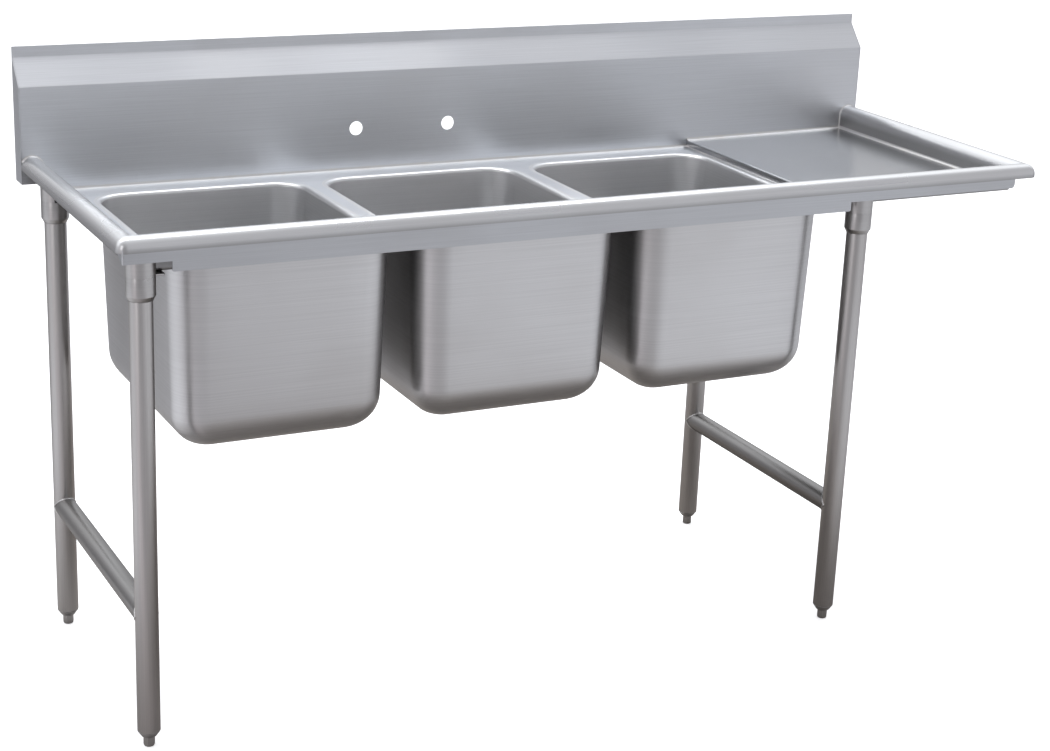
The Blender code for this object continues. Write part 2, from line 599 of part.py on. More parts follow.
# --- drains ----------------------------------------------------------------------------------
def build_drain(bowl_name, centre):
    """Basket drain in a bowl's floor: body, gasket, locknut and lift-out basket."""
    origin = (centre, BOWL_MIDDLE, BOWL_FLOOR)
    seat = -DRAIN_RECESS_DEPTH + GAP
    flange = DRAIN_RECESS_RADIUS - DRAIN_RECESS_DEPTH / 2 - DRAIN_FLANGE_INSET
    cup = DRAIN_HOLE_RADIUS - DRAIN_FIT
    cup_inside = cup - DRAIN_WALL
    cone_top = seat - DRAIN_CUP_DEPTH
    cone_bottom = cone_top - DRAIN_CONE
    neck_inside = DRAIN_NECK_RADIUS - DRAIN_WALL
    neck_end = cone_bottom - DRAIN_NECK_LENGTH
    body = [(cup, seat), (flange, seat), (flange, seat + DRAIN_WALL), (cup_inside, seat + DRAIN_WALL),
            (cup_inside, cone_top), (neck_inside, cone_bottom), (neck_inside, neck_end),
            (DRAIN_NECK_RADIUS, neck_end), (DRAIN_NECK_RADIUS, cone_bottom - DRAIN_WALL),
            (cup, cone_top - DRAIN_WALL)]
    add_object(bowl_name + "_drain_body", turned(body, TUBE_SIDES), origin=origin, smooth=True)

    ring_inside = cup + NUT_FIT
    ring_outside = ring_inside + NUT_RING
    top = -DRAIN_RECESS_DEPTH - SHEET - GAP
    bottom = top - GASKET_THICKNESS
    gasket = [(ring_inside, bottom), (ring_outside, bottom), (ring_outside, top), (ring_inside, top)]
    add_object(bowl_name + "_drain_gasket", turned(gasket, TUBE_SIDES), origin=origin, smooth=True)
    top = bottom - GAP
    bottom = top - NUT_THICKNESS
    nut = [(ring_inside, bottom), (ring_outside, bottom), (ring_outside, top), (ring_inside, top)]
    add_object(bowl_name + "_drain_locknut", turned(nut, TUBE_SIDES), origin=origin, smooth=True)

    floor = cone_top + BASKET_FLOOR_RISE
    radius = cup_inside - BASKET_FIT
    rim = floor + BASKET_HEIGHT
    cupped = [(0.0, floor), (radius, floor), (radius, rim), (radius - BASKET_WALL, rim),
              (radius - BASKET_WALL, floor + BASKET_WALL), (KNOB_POST_RADIUS, floor + BASKET_WALL),
              (KNOB_POST_RADIUS, rim), (KNOB_RADIUS, rim + KNOB_HEIGHT / 3),
              (KNOB_RADIUS, rim + KNOB_HEIGHT), (0.0, rim + KNOB_HEIGHT)]
    basket = add_object(bowl_name + "_drain_basket", turned(cupped, SMALL_SIDES), origin=origin,
                        smooth=True)
    holes = bmesh.new()
    for i in range(BASKET_HOLES):
        turn = 2 * math.pi * (i + 0.5) / BASKET_HOLES
        made = bmesh.ops.create_cone(holes, cap_ends=True, segments=8, radius1=BASKET_HOLE_RADIUS,
                                     radius2=BASKET_HOLE_RADIUS, depth=6 * BASKET_WALL)
        bmesh.ops.translate(holes, verts=made["verts"], vec=(
            BASKET_HOLE_RING * math.cos(turn), BASKET_HOLE_RING * math.sin(turn), floor))
    cutter = add_object(bowl_name + "_basket_cutter", holes, origin=origin)
    add_boolean(basket, cutter, "DIFFERENCE")


def main():
    """Clear the scene and build every part."""
    for obj in list(bpy.data.objects):
        bpy.data.objects.remove(obj)
    build_rims()
    build_deck()
    for name, centre in zip(BOWL_NAMES, BOWL_CENTRES):
        build_bowl(name + "_bowl", centre)
        build_drain(name, centre)
    build_drainboard()
    build_channel()
    build_backsplash()
    build_apron()
    build_legs()


main()
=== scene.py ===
"""Surfaces, finishes and studio of a stainless three compartment sink, over its packed model."""

import math

import bpy
import numpy as np
from mathutils import Matrix, Vector


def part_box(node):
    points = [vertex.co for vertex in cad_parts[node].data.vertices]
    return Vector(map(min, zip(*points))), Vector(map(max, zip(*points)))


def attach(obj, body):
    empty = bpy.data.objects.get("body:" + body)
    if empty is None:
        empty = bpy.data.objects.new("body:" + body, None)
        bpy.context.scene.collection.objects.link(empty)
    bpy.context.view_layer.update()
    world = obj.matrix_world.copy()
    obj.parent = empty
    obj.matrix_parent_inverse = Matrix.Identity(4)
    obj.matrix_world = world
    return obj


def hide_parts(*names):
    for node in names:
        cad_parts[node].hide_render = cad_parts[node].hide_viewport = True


bl_info = {
    "name": "Three Compartment Sink",
    "version": (1, 0, 0),
    "blender": (4, 5, 0),
    "location": "View3D > Sidebar > Sink",
    "description": "Builds the sheet metal, legs, drains, finishes and studio of a three bowl sink",
    "category": "Add Mesh",
}

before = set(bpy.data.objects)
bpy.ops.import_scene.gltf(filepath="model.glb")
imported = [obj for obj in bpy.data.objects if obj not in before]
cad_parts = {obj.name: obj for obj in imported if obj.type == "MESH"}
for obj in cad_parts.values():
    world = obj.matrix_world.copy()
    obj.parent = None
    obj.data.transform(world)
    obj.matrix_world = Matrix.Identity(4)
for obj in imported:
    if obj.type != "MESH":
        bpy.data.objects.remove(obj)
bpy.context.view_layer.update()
BOWLS = ("left", "middle", "right")
CORNERS = ("front_left", "rear_left", "front_right", "rear_right")


def span(node):
    """Lowest and highest corner of a CAD node, as arrays."""
    low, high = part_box(node)
    return np.array(low), np.array(high)


def centre_of(node):
    """Middle of a CAD node's box."""
    return np.mean(span(node), 0)


def foot_of_axis(node):
    """Where a CAD node's upright axis meets the floor."""
    return centre_of(node) * (1.0, 1.0, 0.0)


# Planes that every sheet piece shares, from the frame.
LEFT_END = span("left_rim")[0][0]
RIGHT_END = span("right_rim")[1][0]
FRONT = span("front_rim")[0][1]
RIM_TOP = span("front_rim")[1][2]
FOOTPRINT = span("left_rim")[1][0] - LEFT_END
DECK_TOP = span("deck_panel")[1][2]
RISER = span("drainboard")[0][0]
SPLASH_FACE = span("backsplash")[0][1]
SPLASH_BACK = span("backsplash")[1][1]
SPLASH_TOP = span("backsplash")[1][2]


# --- sizes and colours that a user may change ------------------------------------------------
def length(name, description, default):
    """A length property in metres."""
    return bpy.props.FloatProperty(name=name, description=description, default=default,
                                   min=0.0, precision=5, unit="LENGTH", subtype="DISTANCE")


def colour(name, description, default):
    """A linear colour property."""
    return bpy.props.FloatVectorProperty(name=name, description=description, default=default,
                                         min=0.0, max=1.0, size=3, subtype="COLOR")


def number(name, description, default, low=0.0, high=1.0):
    """A plain number property."""
    return bpy.props.FloatProperty(name=name, description=description, default=default,
                                   min=low, max=high)


class SheetSizes(bpy.types.PropertyGroup):
    """Sizes of the folded and rolled sheet."""

    sheet: length("Sheet", "Thickness of the sheet", 0.0016)
    roll: length("Roll radius", "Outer radius of the rolled rim", 0.0206)
    lip: length("Lip", "Straight edge below the roll's centre", 0.005)
    cove: length("Cove", "Radius between the rim's inner wall and the deck", 0.006)
    corner: length("Corner", "Plan radius of the rim's outer corners", 0.019)
    mitre: length("Mitre", "Plan radius left inside a rim corner", 0.0008)
    bend: length("Bend", "Outer radius of the backsplash's folds", 0.0035)
    tile_edge: length("Tile edge", "Height of the strip along the backsplash's top", 0.020)
    slope: length("Slope", "Height of the sloped return below that strip", 0.050)
    board_edge: length("Board edge", "Radius along the top of the drainboard's riser", 0.004)
    board_step: length("Board step", "Drainboard's height above the deck at the riser", 0.014)
    board_fall: length("Board fall", "Extra height at its right end", 0.005)
    fillet: length("Fillet", "Radius of the coved corners along the backsplash", 0.0055)
    faucet_hole: length("Faucet hole", "Radius of each faucet hole", 0.0143)
    faucet_pitch: length("Faucet pitch", "Distance between the two faucet holes", 0.2032)
    faucet_rise: length("Faucet rise", "Height of the holes above the deck", 0.085)


class BowlSizes(bpy.types.PropertyGroup):
    """Sizes of the drawn bowls."""

    mouth: length("Mouth", "Radius from deck to wall", 0.008)
    border: length("Border", "From the mouth to the outer edge of its flange", 0.014)
    corner: length("Corner", "Upright corner radius at the mouth", 0.060)
    taper: number("Taper", "Share of each step inward that comes off the corner radius", 0.65)
    draft: length("Draft", "How far each wall leans in", 0.010)
    floor_radius: length("Floor radius", "Radius between wall and floor", 0.068)
    recess: length("Recess", "Radius of the drain's recess", 0.057)
    recess_depth: length("Recess depth", "Depth of the drain's recess", 0.003)
    outlet: length("Outlet", "Radius of the hole for the drain", 0.0445)


class FittingSizes(bpy.types.PropertyGroup):
    """Sizes of the legs, feet and drains."""

    wall: length("Tube wall", "Wall of the legs and rails", 0.0016)
    bead: length("Bead", "Radius of a weld bead", 0.0016)
    thread: length("Thread", "Pitch of the feet's thread", 0.00195)
    hexagon: length("Hexagon", "Half the foot's width across its corners", 0.0108)
    stem: length("Stem", "Radius of the foot's stem", 0.0063)
    pad: length("Pad", "Radius of the foot's flat end", 0.0068)
    cup: length("Cup", "Outer radius of the drain's cup", 0.0439)
    neck: length("Neck", "Outer radius of the drain's neck", 0.0241)


class FinishSettings(bpy.types.PropertyGroup):
    """Colours and shine of the metals."""

    sheet: colour("Sheet", "Satin sheet", (0.700, 0.717, 0.745))
    bowl: colour("Bowl", "Drawn bowls", (0.740, 0.742, 0.750))
    rim: colour("Rim", "Rolled and polished rim", (0.700, 0.705, 0.715))
    board: colour("Drainboard", "Drainboard surface", (0.470, 0.478, 0.494))
    tube: colour("Tube", "Legs and rails", (0.590, 0.577, 0.570))
    hardware: colour("Hardware", "Feet, sockets and screws", (0.560, 0.552, 0.548))
    drain: colour("Drain", "Polished drains", (0.660, 0.655, 0.645))
    weld: colour("Weld", "Weld beads", (0.720, 0.715, 0.710))
    rubber: colour("Rubber", "Drain gaskets", (0.020, 0.020, 0.022))


class StageSettings(bpy.types.PropertyGroup):
    """Camera and light of the studio."""

    lens: bpy.props.FloatProperty(name="Lens", description="Focal length on a 36 mm sensor",
                                  default=71.55, min=10.0, unit="CAMERA")
    floor: colour("Floor", "Studio floor", (0.86, 0.86, 0.86))
    key: number("Key light", "Power of the large overhead light in watts", 90.0, 0.0, 2000.0)
    side: number("Side light", "Power of the light at the left in watts", 12.0, 0.0, 2000.0)
    sky: number("Sky", "Strength of the soft surrounding light", 1.0, 0.0, 10.0)


# --- surfaces as arrays ----------------------------------------------------------------------
# A part is (points, quads, lay): corner points, four corners per face, and for each corner of
# each face its place along and across the metal's grain, in metres.
def unit(vectors):
    """Vectors scaled to length one."""
    return vectors / np.maximum(np.linalg.norm(vectors, axis=-1, keepdims=True), 1e-12)


def xyz(*parts):
    """Coordinates spread over one another and stacked as points."""
    return np.stack(np.broadcast_arrays(*parts), -1)


def raised(flat, height):
    """Plan points at a height."""
    return xyz(flat[..., 0], flat[..., 1], height)


def round_axis(radius, turn, height):
    """Points at a radius, a turn and a height round an upright axis."""
    return xyz(radius * np.cos(turn), radius * np.sin(turn), height)


def steps_along(points, axis):
    """Distance run along one axis of a grid: the running sum of its mean steps."""
    step = np.linalg.norm(np.diff(points, axis=axis), axis=-1).mean(1 - axis)
    return np.concatenate([[0.0], np.cumsum(step)])


def grid(points, flip=False, turned_grain=False):
    """Quads between neighbours of an (n, m) grid of points. Faces look along the cross product
    of the second index's direction and the first's; the grain runs along the second index."""
    rows, columns = points.shape[:2]
    index = np.arange(rows * columns).reshape(rows, columns)
    quads = np.stack([index[:-1, :-1], index[:-1, 1:], index[1:, 1:], index[1:, :-1]], -1)
    quads = quads.reshape(-1, 4)
    lay = np.stack(np.meshgrid(steps_along(points, 1), steps_along(points, 0)), -1)
    lay = lay[..., ::-1] if turned_grain else lay
    lay = lay.reshape(-1, 2)[quads]
    if flip:
        quads, lay = quads[:, ::-1], lay[:, ::-1]
    return points.reshape(-1, 3), quads, lay


def join(*parts):
    """Several parts as one."""
    shifts = np.cumsum([0] + [len(part[0]) for part in parts[:-1]])
    return (np.concatenate([part[0] for part in parts]),
            np.concatenate([part[1] + shift for part, shift in zip(parts, shifts)]),
            np.concatenate([part[2] for part in parts]))


def doubled_last(points, quads, lay):
    """Turn each quad that is a triangle so that its doubled corner comes last."""
    doubled = quads == np.roll(quads, -1, axis=1)
    shift = np.where(doubled.any(1), doubled.argmax(1) - 2, 0)
    order = (np.arange(4) + shift[:, None]) % 4
    return (points, np.take_along_axis(quads, order, 1),
            np.take_along_axis(lay, order[..., None], 1))


def weld(part):
    """Points nearer than a hundredth of a millimetre become one. A quad that loses one corner
    becomes a triangle; one that loses two is dropped."""
    points, quads, lay = part
    key = np.round((points + 3.1e-6) / 1e-5).astype(np.int64)
    _, first, place = np.unique(key, axis=0, return_index=True, return_inverse=True)
    quads = place.reshape(-1)[quads]
    doubled = quads == np.roll(quads, -1, axis=1)
    good = (doubled.sum(1) < 2) & (quads[:, 0] != quads[:, 2]) & (quads[:, 1] != quads[:, 3])
    return doubled_last(points[first], quads[good], lay[good])


def face_normals(part):
    """Each face's normal times twice its area: the cross product of its two diagonals."""
    a, b, c, d = (part[0][part[1][:, k]] for k in range(4))
    return np.cross(c - a, d - b)


def solid(part):
    """A closed part, welded and facing out: its faces are turned if its volume is negative."""
    points, quads, lay = weld(part)
    middle = points[quads].mean(1) - points.mean(0)
    if (middle * face_normals((points, quads, lay))).sum() < 0.0:
        quads, lay = quads[:, [2, 1, 0, 3]], lay[:, [2, 1, 0, 3]]
    return doubled_last(points, quads, lay)


def thicken(part, thickness):
    """Give an open sheet its wall. The far side is each point less its normal times the
    thickness, over the mean cosine to its faces; edges that only one face uses are closed."""
    points, quads, lay = weld(part)
    weight = face_normals((points, quads, lay))
    flat = unit(weight)
    normal = np.zeros_like(points)
    for k in range(4):
        np.add.at(normal, quads[:, k], weight)
    normal = unit(normal)
    cosine, count = np.zeros(len(points)), np.zeros(len(points))
    for k in range(4):
        np.add.at(cosine, quads[:, k], (normal[quads[:, k]] * flat).sum(1))
        np.add.at(count, quads[:, k], 1.0)
    scale = thickness / np.clip(cosine / np.maximum(count, 1.0), 0.5, 1.0)
    total = len(points)
    far = points - normal * scale[:, None]
    starts, ends = quads.reshape(-1), np.roll(quads, -1, axis=1).reshape(-1)
    begin, finish = lay.reshape(-1, 2), np.roll(lay, -1, axis=1).reshape(-1, 2)
    real = starts != ends
    edge = real & ~np.isin(starts * total + ends, ends[real] * total + starts[real])
    a, b = starts[edge], ends[edge]
    side = np.stack([b, a, a + total, b + total], -1)
    deep = np.array([0.0, thickness])
    side_lay = np.stack([finish[edge], begin[edge], begin[edge] + deep, finish[edge] + deep], 1)
    back = quads[:, [0, 3, 2, 1]]
    back_lay = lay[:, [0, 3, 2, 1]]
    three = quads[:, 2] == quads[:, 3]
    back[three] = quads[three][:, [0, 2, 1, 1]]
    back_lay[three] = lay[three][:, [0, 2, 1, 1]]
    return (np.concatenate([points, far]), np.concatenate([quads, back + total, side]),
            np.concatenate([lay, back_lay, side_lay]))


def rounded_line(corners, radii, steps=6):
    """Line through corners with each one rounded: an arc's points are its centre, less the
    radius times the cosine along the bisector, plus the radius times the sine along the tangent."""
    corners = np.asarray(corners, float)
    radii = np.array(np.broadcast_to(radii, len(corners)), float)
    radii[[0, -1]] = 0.0
    into = unit(corners - np.roll(corners, 1, 0))
    out = unit(np.roll(corners, -1, 0) - corners)
    half = np.arccos(np.clip((into * out).sum(1), -1.0, 1.0)) / 2
    bisector, tangent = unit(out - into), unit(into + out)
    centre = corners + bisector * (radii / np.maximum(np.cos(half), 1e-6))[:, None]
    turn = half[:, None] * np.linspace(-1.0, 1.0, steps + 1)
    arc = np.sin(turn)[..., None] * tangent[:, None] - np.cos(turn)[..., None] * bisector[:, None]
    line = (centre[:, None] + radii[:, None, None] * arc).reshape(-1, corners.shape[1])
    return line[np.r_[True, np.linalg.norm(np.diff(line, axis=0), axis=1) > 1e-7]]


def loop_rule(corner_steps=10, side_steps=8):
    """Rounded rectangle as two arrays: the corner that each point belongs to, sliding to the next
    corner along a side, and its direction from that corner's centre. Half sizes h and radius r
    give corner * (h - r) + direction * r."""
    turn = np.linspace(0.0, np.pi / 2, corner_steps + 1)
    slide = np.linspace(1.0, -1.0, side_steps + 1)[1:-1]
    corner = np.concatenate([np.ones((corner_steps + 1, 2)),
                             np.stack([slide, np.ones_like(slide)], -1)])
    direction = np.concatenate([np.stack([np.cos(turn), np.sin(turn)], -1),
                                np.tile([0.0, 1.0], (len(slide), 1))])
    quarter = np.array([[0.0, 1.0], [-1.0, 0.0]])
    spins = [np.linalg.matrix_power(quarter, k) for k in range(4)]
    corners = np.concatenate([corner @ spin for spin in spins])
    directions = np.concatenate([direction @ spin for spin in spins])
    return np.concatenate([corners, corners[:1]]), np.concatenate([directions, directions[:1]])


def turned(profile, centre, sides=64, turned_grain=False):
    """Profile of (radius, height) carried round an upright axis: x and y are the radius times
    the cosine and sine of the turn."""
    profile = np.asarray(profile, float)
    turn = np.linspace(0.0, 2 * np.pi, sides + 1)
    points = round_axis(profile[:, :1], turn, profile[:, 1:]) + centre
    return solid(grid(points, turned_grain=turned_grain))


def bar(sections, turned_grain=False):
    """Closed sections carried along a path, each end drawn together to its section's middle."""
    ends = sections.mean(1, keepdims=True) + 0.0 * sections
    return solid(grid(np.concatenate([ends[:1], sections, ends[-1:]]),
                      turned_grain=turned_grain))


def bead(path, radius, side, closed=False, sides=10):
    """Round bead along a path: a circle whose axes are `side` and the tangent's cross product
    with it. Its radius may change from point to point."""
    path = np.asarray(path, float)
    side = unit(np.broadcast_to(side, path.shape).astype(float))
    tangent = np.gradient(path, axis=0)
    if closed:
        tangent[[0, -1]] = path[1] - path[-2]
    other = unit(np.cross(unit(tangent), side))
    turn = np.linspace(0.0, 2 * np.pi, sides + 1)[:, None]
    radius = np.broadcast_to(radius, len(path))[:, None, None]
    ring = path[:, None] + radius * (np.cos(turn) * side[:, None] + np.sin(turn) * other[:, None])
    return solid(grid(ring, turned_grain=True)) if closed else bar(ring, turned_grain=True)


def fillet(path, wall, floor, radius, steps=8):
    """Coved corner between two surfaces along a path: a hollow quarter arc about the point that
    lies a radius out along both, closed behind through the corner."""
    path = np.asarray(path, float)
    wall, floor = (unit(np.broadcast_to(way, path.shape).astype(float))[:, None]
                   for way in (wall, floor))
    turn = np.linspace(0.0, np.pi / 2, steps + 1)[:, None]
    hollow = radius * ((1.0 - np.sin(turn)) * wall + (1.0 - np.cos(turn)) * floor)
    section = np.concatenate([hollow, -0.0002 * (wall + floor), hollow[:, :1]], 1)
    return bar(path[:, None] + section, turned_grain=True)


def pierced(plane, blocks, rings=5):
    """Flat grid with round holes. Each block of cells is taken out, and the points round its edge
    are joined to the circle in even shares of the straight way from edge to circle."""
    rows, columns = plane.shape[:2]
    keep = np.ones((rows - 1, columns - 1), bool)
    share = np.linspace(0.0, 1.0, rings + 1)[:, None, None]
    parts = []
    for low, high, left, right, centre, radius in blocks:
        keep[low:high, left:right] = False
        edge = np.concatenate([plane[low, left:right], plane[low:high, right],
                               plane[high, right:left:-1], plane[high:low:-1, left],
                               plane[low:low + 1, left]])
        circle = centre + radius * unit(edge - centre)
        parts.append(edge * (1.0 - share) + circle * share)
    made = [grid(raised(part, 0.0)) for part in [plane, *parts]]
    made[0] = (made[0][0], made[0][1][keep.reshape(-1)], made[0][2][keep.reshape(-1)])
    points, quads, _ = join(*made)
    return points, quads, points[quads][..., :2]


def slab(outline, low, high, edge=0.0003):
    """Flat plate: an outline about its middle, drawn in a little at its top and bottom edges."""
    outline = np.asarray(outline, float)
    middle = outline.mean(0)
    reach = np.linalg.norm(outline - middle, axis=1).max()
    inset = middle + (outline - middle) * (1.0 - edge / reach)
    heights = [(middle + 0.0 * outline, low), (inset, low), (outline, low + edge),
               (outline, high - edge), (inset, high), (middle + 0.0 * outline, high)]
    return solid(grid(np.stack([raised(ring, height) for ring, height in heights])))


def show(name, part, finish, nodes=(), body="sink", sharp=35.0):
    """Put a part into the scene with its finish, attach it to the body it rides on, and hide the
    CAD nodes it stands for.
    """
    points, quads, lay = part
    keep = np.ones(quads.shape, bool)
    keep[quads[:, 2] == quads[:, 3], 3] = False
    mesh = bpy.data.meshes.new(name)
    mesh.vertices.add(len(points))
    mesh.vertices.foreach_set("co", points.astype(np.float32).ravel())
    mesh.loops.add(int(keep.sum()))
    mesh.loops.foreach_set("vertex_index", quads[keep].astype(np.int32))
    mesh.polygons.add(len(quads))
    starts = np.cumsum(keep.sum(1)) - keep.sum(1)
    mesh.polygons.foreach_set("loop_start", starts.astype(np.int32))
    mesh.update(calc_edges=True)
    mesh.validate()
    uv = mesh.uv_layers.new(name="grain")
    uv.data.foreach_set("uv", lay[keep].astype(np.float32).ravel())
    mesh.shade_smooth()
    mesh.set_sharp_from_angle(angle=math.radians(sharp))
    mesh.materials.append(finish)
    piece = bpy.data.objects.new(name, mesh)
    bpy.context.scene.collection.objects.link(piece)
    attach(piece, body)
    if nodes:
        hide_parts(*nodes)
    return piece


# --- finishes --------------------------------------------------------------------------------
def add(tree, kind, inputs=None, **settings):
    """Add a node, set it up, and link or set each named or numbered input."""
    made = tree.nodes.new(kind)
    for key, value in settings.items():
        setattr(made, key, value)
    for key, value in (inputs or {}).items():
        if isinstance(value, bpy.types.NodeSocket):
            tree.links.new(value, made.inputs[key])
        else:
            made.inputs[key].default_value = value
    return made


def maths(tree, operation, *values):
    """Result socket of a Math node."""
    return add(tree, "ShaderNodeMath", dict(enumerate(values)), operation=operation).outputs[0]


def times(tree, first, second):
    """Product of two values."""
    return maths(tree, "MULTIPLY", first, second)


def between(tree, value, low, high):
    """A value from 0..1 spread over low..high."""
    return add(tree, "ShaderNodeMapRange", {"Value": value, "To Min": low, "To Max": high},
               clamp=True).outputs["Result"]


def band(tree, value, low, high):
    """Smooth 0..1 mask that rises from low to high."""
    return add(tree, "ShaderNodeMapRange", {"Value": value, "From Min": low, "From Max": high},
               interpolation_type="SMOOTHSTEP").outputs["Result"]


def stretched(tree, place, along, across, third=1.0):
    """Coordinates scaled along and across the grain."""
    scale = add(tree, "ShaderNodeCombineXYZ", {"X": along, "Y": across, "Z": third}).outputs[0]
    return add(tree, "ShaderNodeVectorMath", {0: place, 1: scale}, operation="MULTIPLY").outputs[0]


def noise(tree, place, scale=1.0, detail=2.0, roughness=0.5):
    """Factor of a noise pattern."""
    return add(tree, "ShaderNodeTexNoise", {"Vector": place, "Scale": scale, "Detail": detail,
                                            "Roughness": roughness}).outputs[0]


def wire(tree, ends, **results):
    """Link results to the ends of the same name, with spaces for underscores."""
    for name, value in results.items():
        tree.links.new(value, ends[name.replace("_", " ")])


def new_group(name, inputs, outputs):
    """Shader group with named sockets; each input is (name, kind, default)."""
    group = bpy.data.node_groups.new(name, "ShaderNodeTree")
    for label, kind, default in inputs:
        socket = group.interface.new_socket(label, in_out="INPUT", socket_type=kind)
        if default is not None:
            socket.default_value = default
    for label in outputs:
        group.interface.new_socket(label, in_out="OUTPUT", socket_type="NodeSocketFloat")
    return group, add(group, "NodeGroupInput").outputs, add(group, "NodeGroupOutput").inputs


VECTOR, FLOAT = "NodeSocketVector", "NodeSocketFloat"


def brushed_grain():
    """Belt-brushed lines: hairlines and streaks drawn out along the grain, and slow broad bands."""
    group, given, result = new_group("brushed grain", [
        ("Place", VECTOR, None), ("Run", FLOAT, 5.0), ("Lines", FLOAT, 900.0)],
        ["Height", "Streaks", "Bands"])
    broad = times(group, given["Lines"], 0.35)
    long = times(group, given["Run"], 2.5)
    hair = noise(group, stretched(group, given["Place"], long, given["Lines"]), detail=3.0)
    streak = noise(group, stretched(group, given["Place"], given["Run"], broad, 3.0), detail=4.0)
    bands = noise(group, given["Place"], 2.2, 1.0)
    wire(group, result, Streaks=band(group, streak, 0.2, 0.8),
         Height=maths(group, "ADD", times(group, hair, 0.7), times(group, streak, 0.3)),
         Bands=band(group, bands, 0.25, 0.75))
    return group


def handling_marks():
    """Wiped smudges, and sparse fine scratches that cross the grain both ways."""
    group, given, result = new_group("handling marks", [
        ("Place", VECTOR, None), ("Size", FLOAT, 6.0), ("Scratches", FLOAT, 0.5)],
        ["Smudge", "Scratch", "Wave"])
    cloud = noise(group, given["Place"], given["Size"], 3.0, 0.45)
    crossing = []
    for turn, shift in ((0.5, 3.0), (-0.8, 7.0)):
        spun = add(group, "ShaderNodeMapping", {"Vector": given["Place"], "Location": (shift,) * 3,
                                                "Rotation": (turn, turn * 0.7, turn)}).outputs[0]
        line = noise(group, stretched(group, spun, 9.0, 900.0, 900.0), 1.0, 1.0)
        crossing.append(band(group, line, 0.70, 0.78))
    patchy = band(group, noise(group, given["Place"], 9.0, 2.0), 0.5, 0.65)
    scratch = times(group, maths(group, "MAXIMUM", *crossing), patchy)
    wire(group, result, Smudge=band(group, cloud, 0.35, 0.85),
         Scratch=times(group, scratch, given["Scratches"]),
         Wave=noise(group, given["Place"], 2.6, 1.0))
    return group


def water_marks():
    """Dried drops: the thin rim and faint inside of scattered round cells."""
    group, given, result = new_group("water marks", [
        ("Place", VECTOR, None), ("Size", FLOAT, 55.0)], ["Mask"])
    cells = add(group, "ShaderNodeTexVoronoi", {"Vector": given["Place"],
                                                "Scale": given["Size"]}).outputs["Distance"]
    rim = maths(group, "SUBTRACT", band(group, cells, 0.20, 0.25), band(group, cells, 0.27, 0.33))
    inside = times(group, maths(group, "SUBTRACT", 1.0, band(group, cells, 0.2, 0.27)), 0.35)
    sparse = band(group, noise(group, given["Place"], 14.0, 1.0), 0.56, 0.68)
    wire(group, result, Mask=times(group, maths(group, "ADD", rim, inside), sparse))
    return group


def weld_ripple():
    """Ripples of a weld: fine rings across the bead, broken up by noise."""
    group, given, result = new_group("weld ripple", [
        ("Place", VECTOR, None), ("Rings", FLOAT, 700.0)], ["Height", "Heat"])
    uneven = noise(group, stretched(group, given["Place"], 90.0, 90.0, 90.0), 1.0, 2.0)
    along = add(group, "ShaderNodeSeparateXYZ", {0: given["Place"]}).outputs[0]
    phase = maths(group, "ADD", times(group, along, given["Rings"]),
                  times(group, uneven, 5.0))
    wire(group, result, Height=maths(group, "SINE", phase),
         Heat=band(group, noise(group, given["Place"], 30.0, 3.0), 0.45, 0.7))
    return group


GROUPS = {}


def group_node(tree, name, inputs):
    """Outputs of one of the shared groups, placed in a material."""
    return add(tree, "ShaderNodeGroup", inputs, node_tree=GROUPS[name]).outputs


def blend_colour(tree, share, first, second, way="MIX"):
    """Colour between two others, or their product when the way is MULTIPLY."""
    return add(tree, "ShaderNodeMix", {"Factor": share, "A": first, "B": second},
               data_type="RGBA", blend_type=way).outputs["Result"]


def colour_ramp(tree, value, stops):
    """Colours by position: each stop is (position, colour)."""
    ramp = add(tree, "ShaderNodeValToRGB", {0: value})
    while len(ramp.color_ramp.elements) < len(stops):
        ramp.color_ramp.elements.new(0.5)
    for element, (place, tint) in zip(ramp.color_ramp.elements, stops):
        element.position = place
        element.color = (*tint, 1.0)
    return ramp.outputs[0]


def scaled(tint, *factors):
    """Opaque colour: a tint with its channels multiplied by one factor, or by one each."""
    factors = factors * 3 if len(factors) == 1 else factors
    return (*(min(1.0, value * factor) for value, factor in zip(tint, factors)), 1.0)


def bump(tree, strength, distance, height, **inputs):
    """Normal tilted by a height."""
    return add(tree, "ShaderNodeBump", {"Strength": strength, "Distance": distance,
                                        "Height": height, **inputs}).outputs[0]


def object_place(tree):
    """The object's own coordinates."""
    return add(tree, "ShaderNodeTexCoord").outputs["Object"]


def grain_place(tree):
    """Place along and across the metal's grain."""
    return add(tree, "ShaderNodeUVMap", uv_map="grain").outputs["UV"]


def new_material(name, metallic=1.0):
    """A material, its node tree and the inputs of its shader."""
    material = bpy.data.materials.new(name)
    material.use_nodes = True
    given = material.node_tree.nodes["Principled BSDF"].inputs
    given["Metallic"].default_value = metallic
    return material, material.node_tree, given


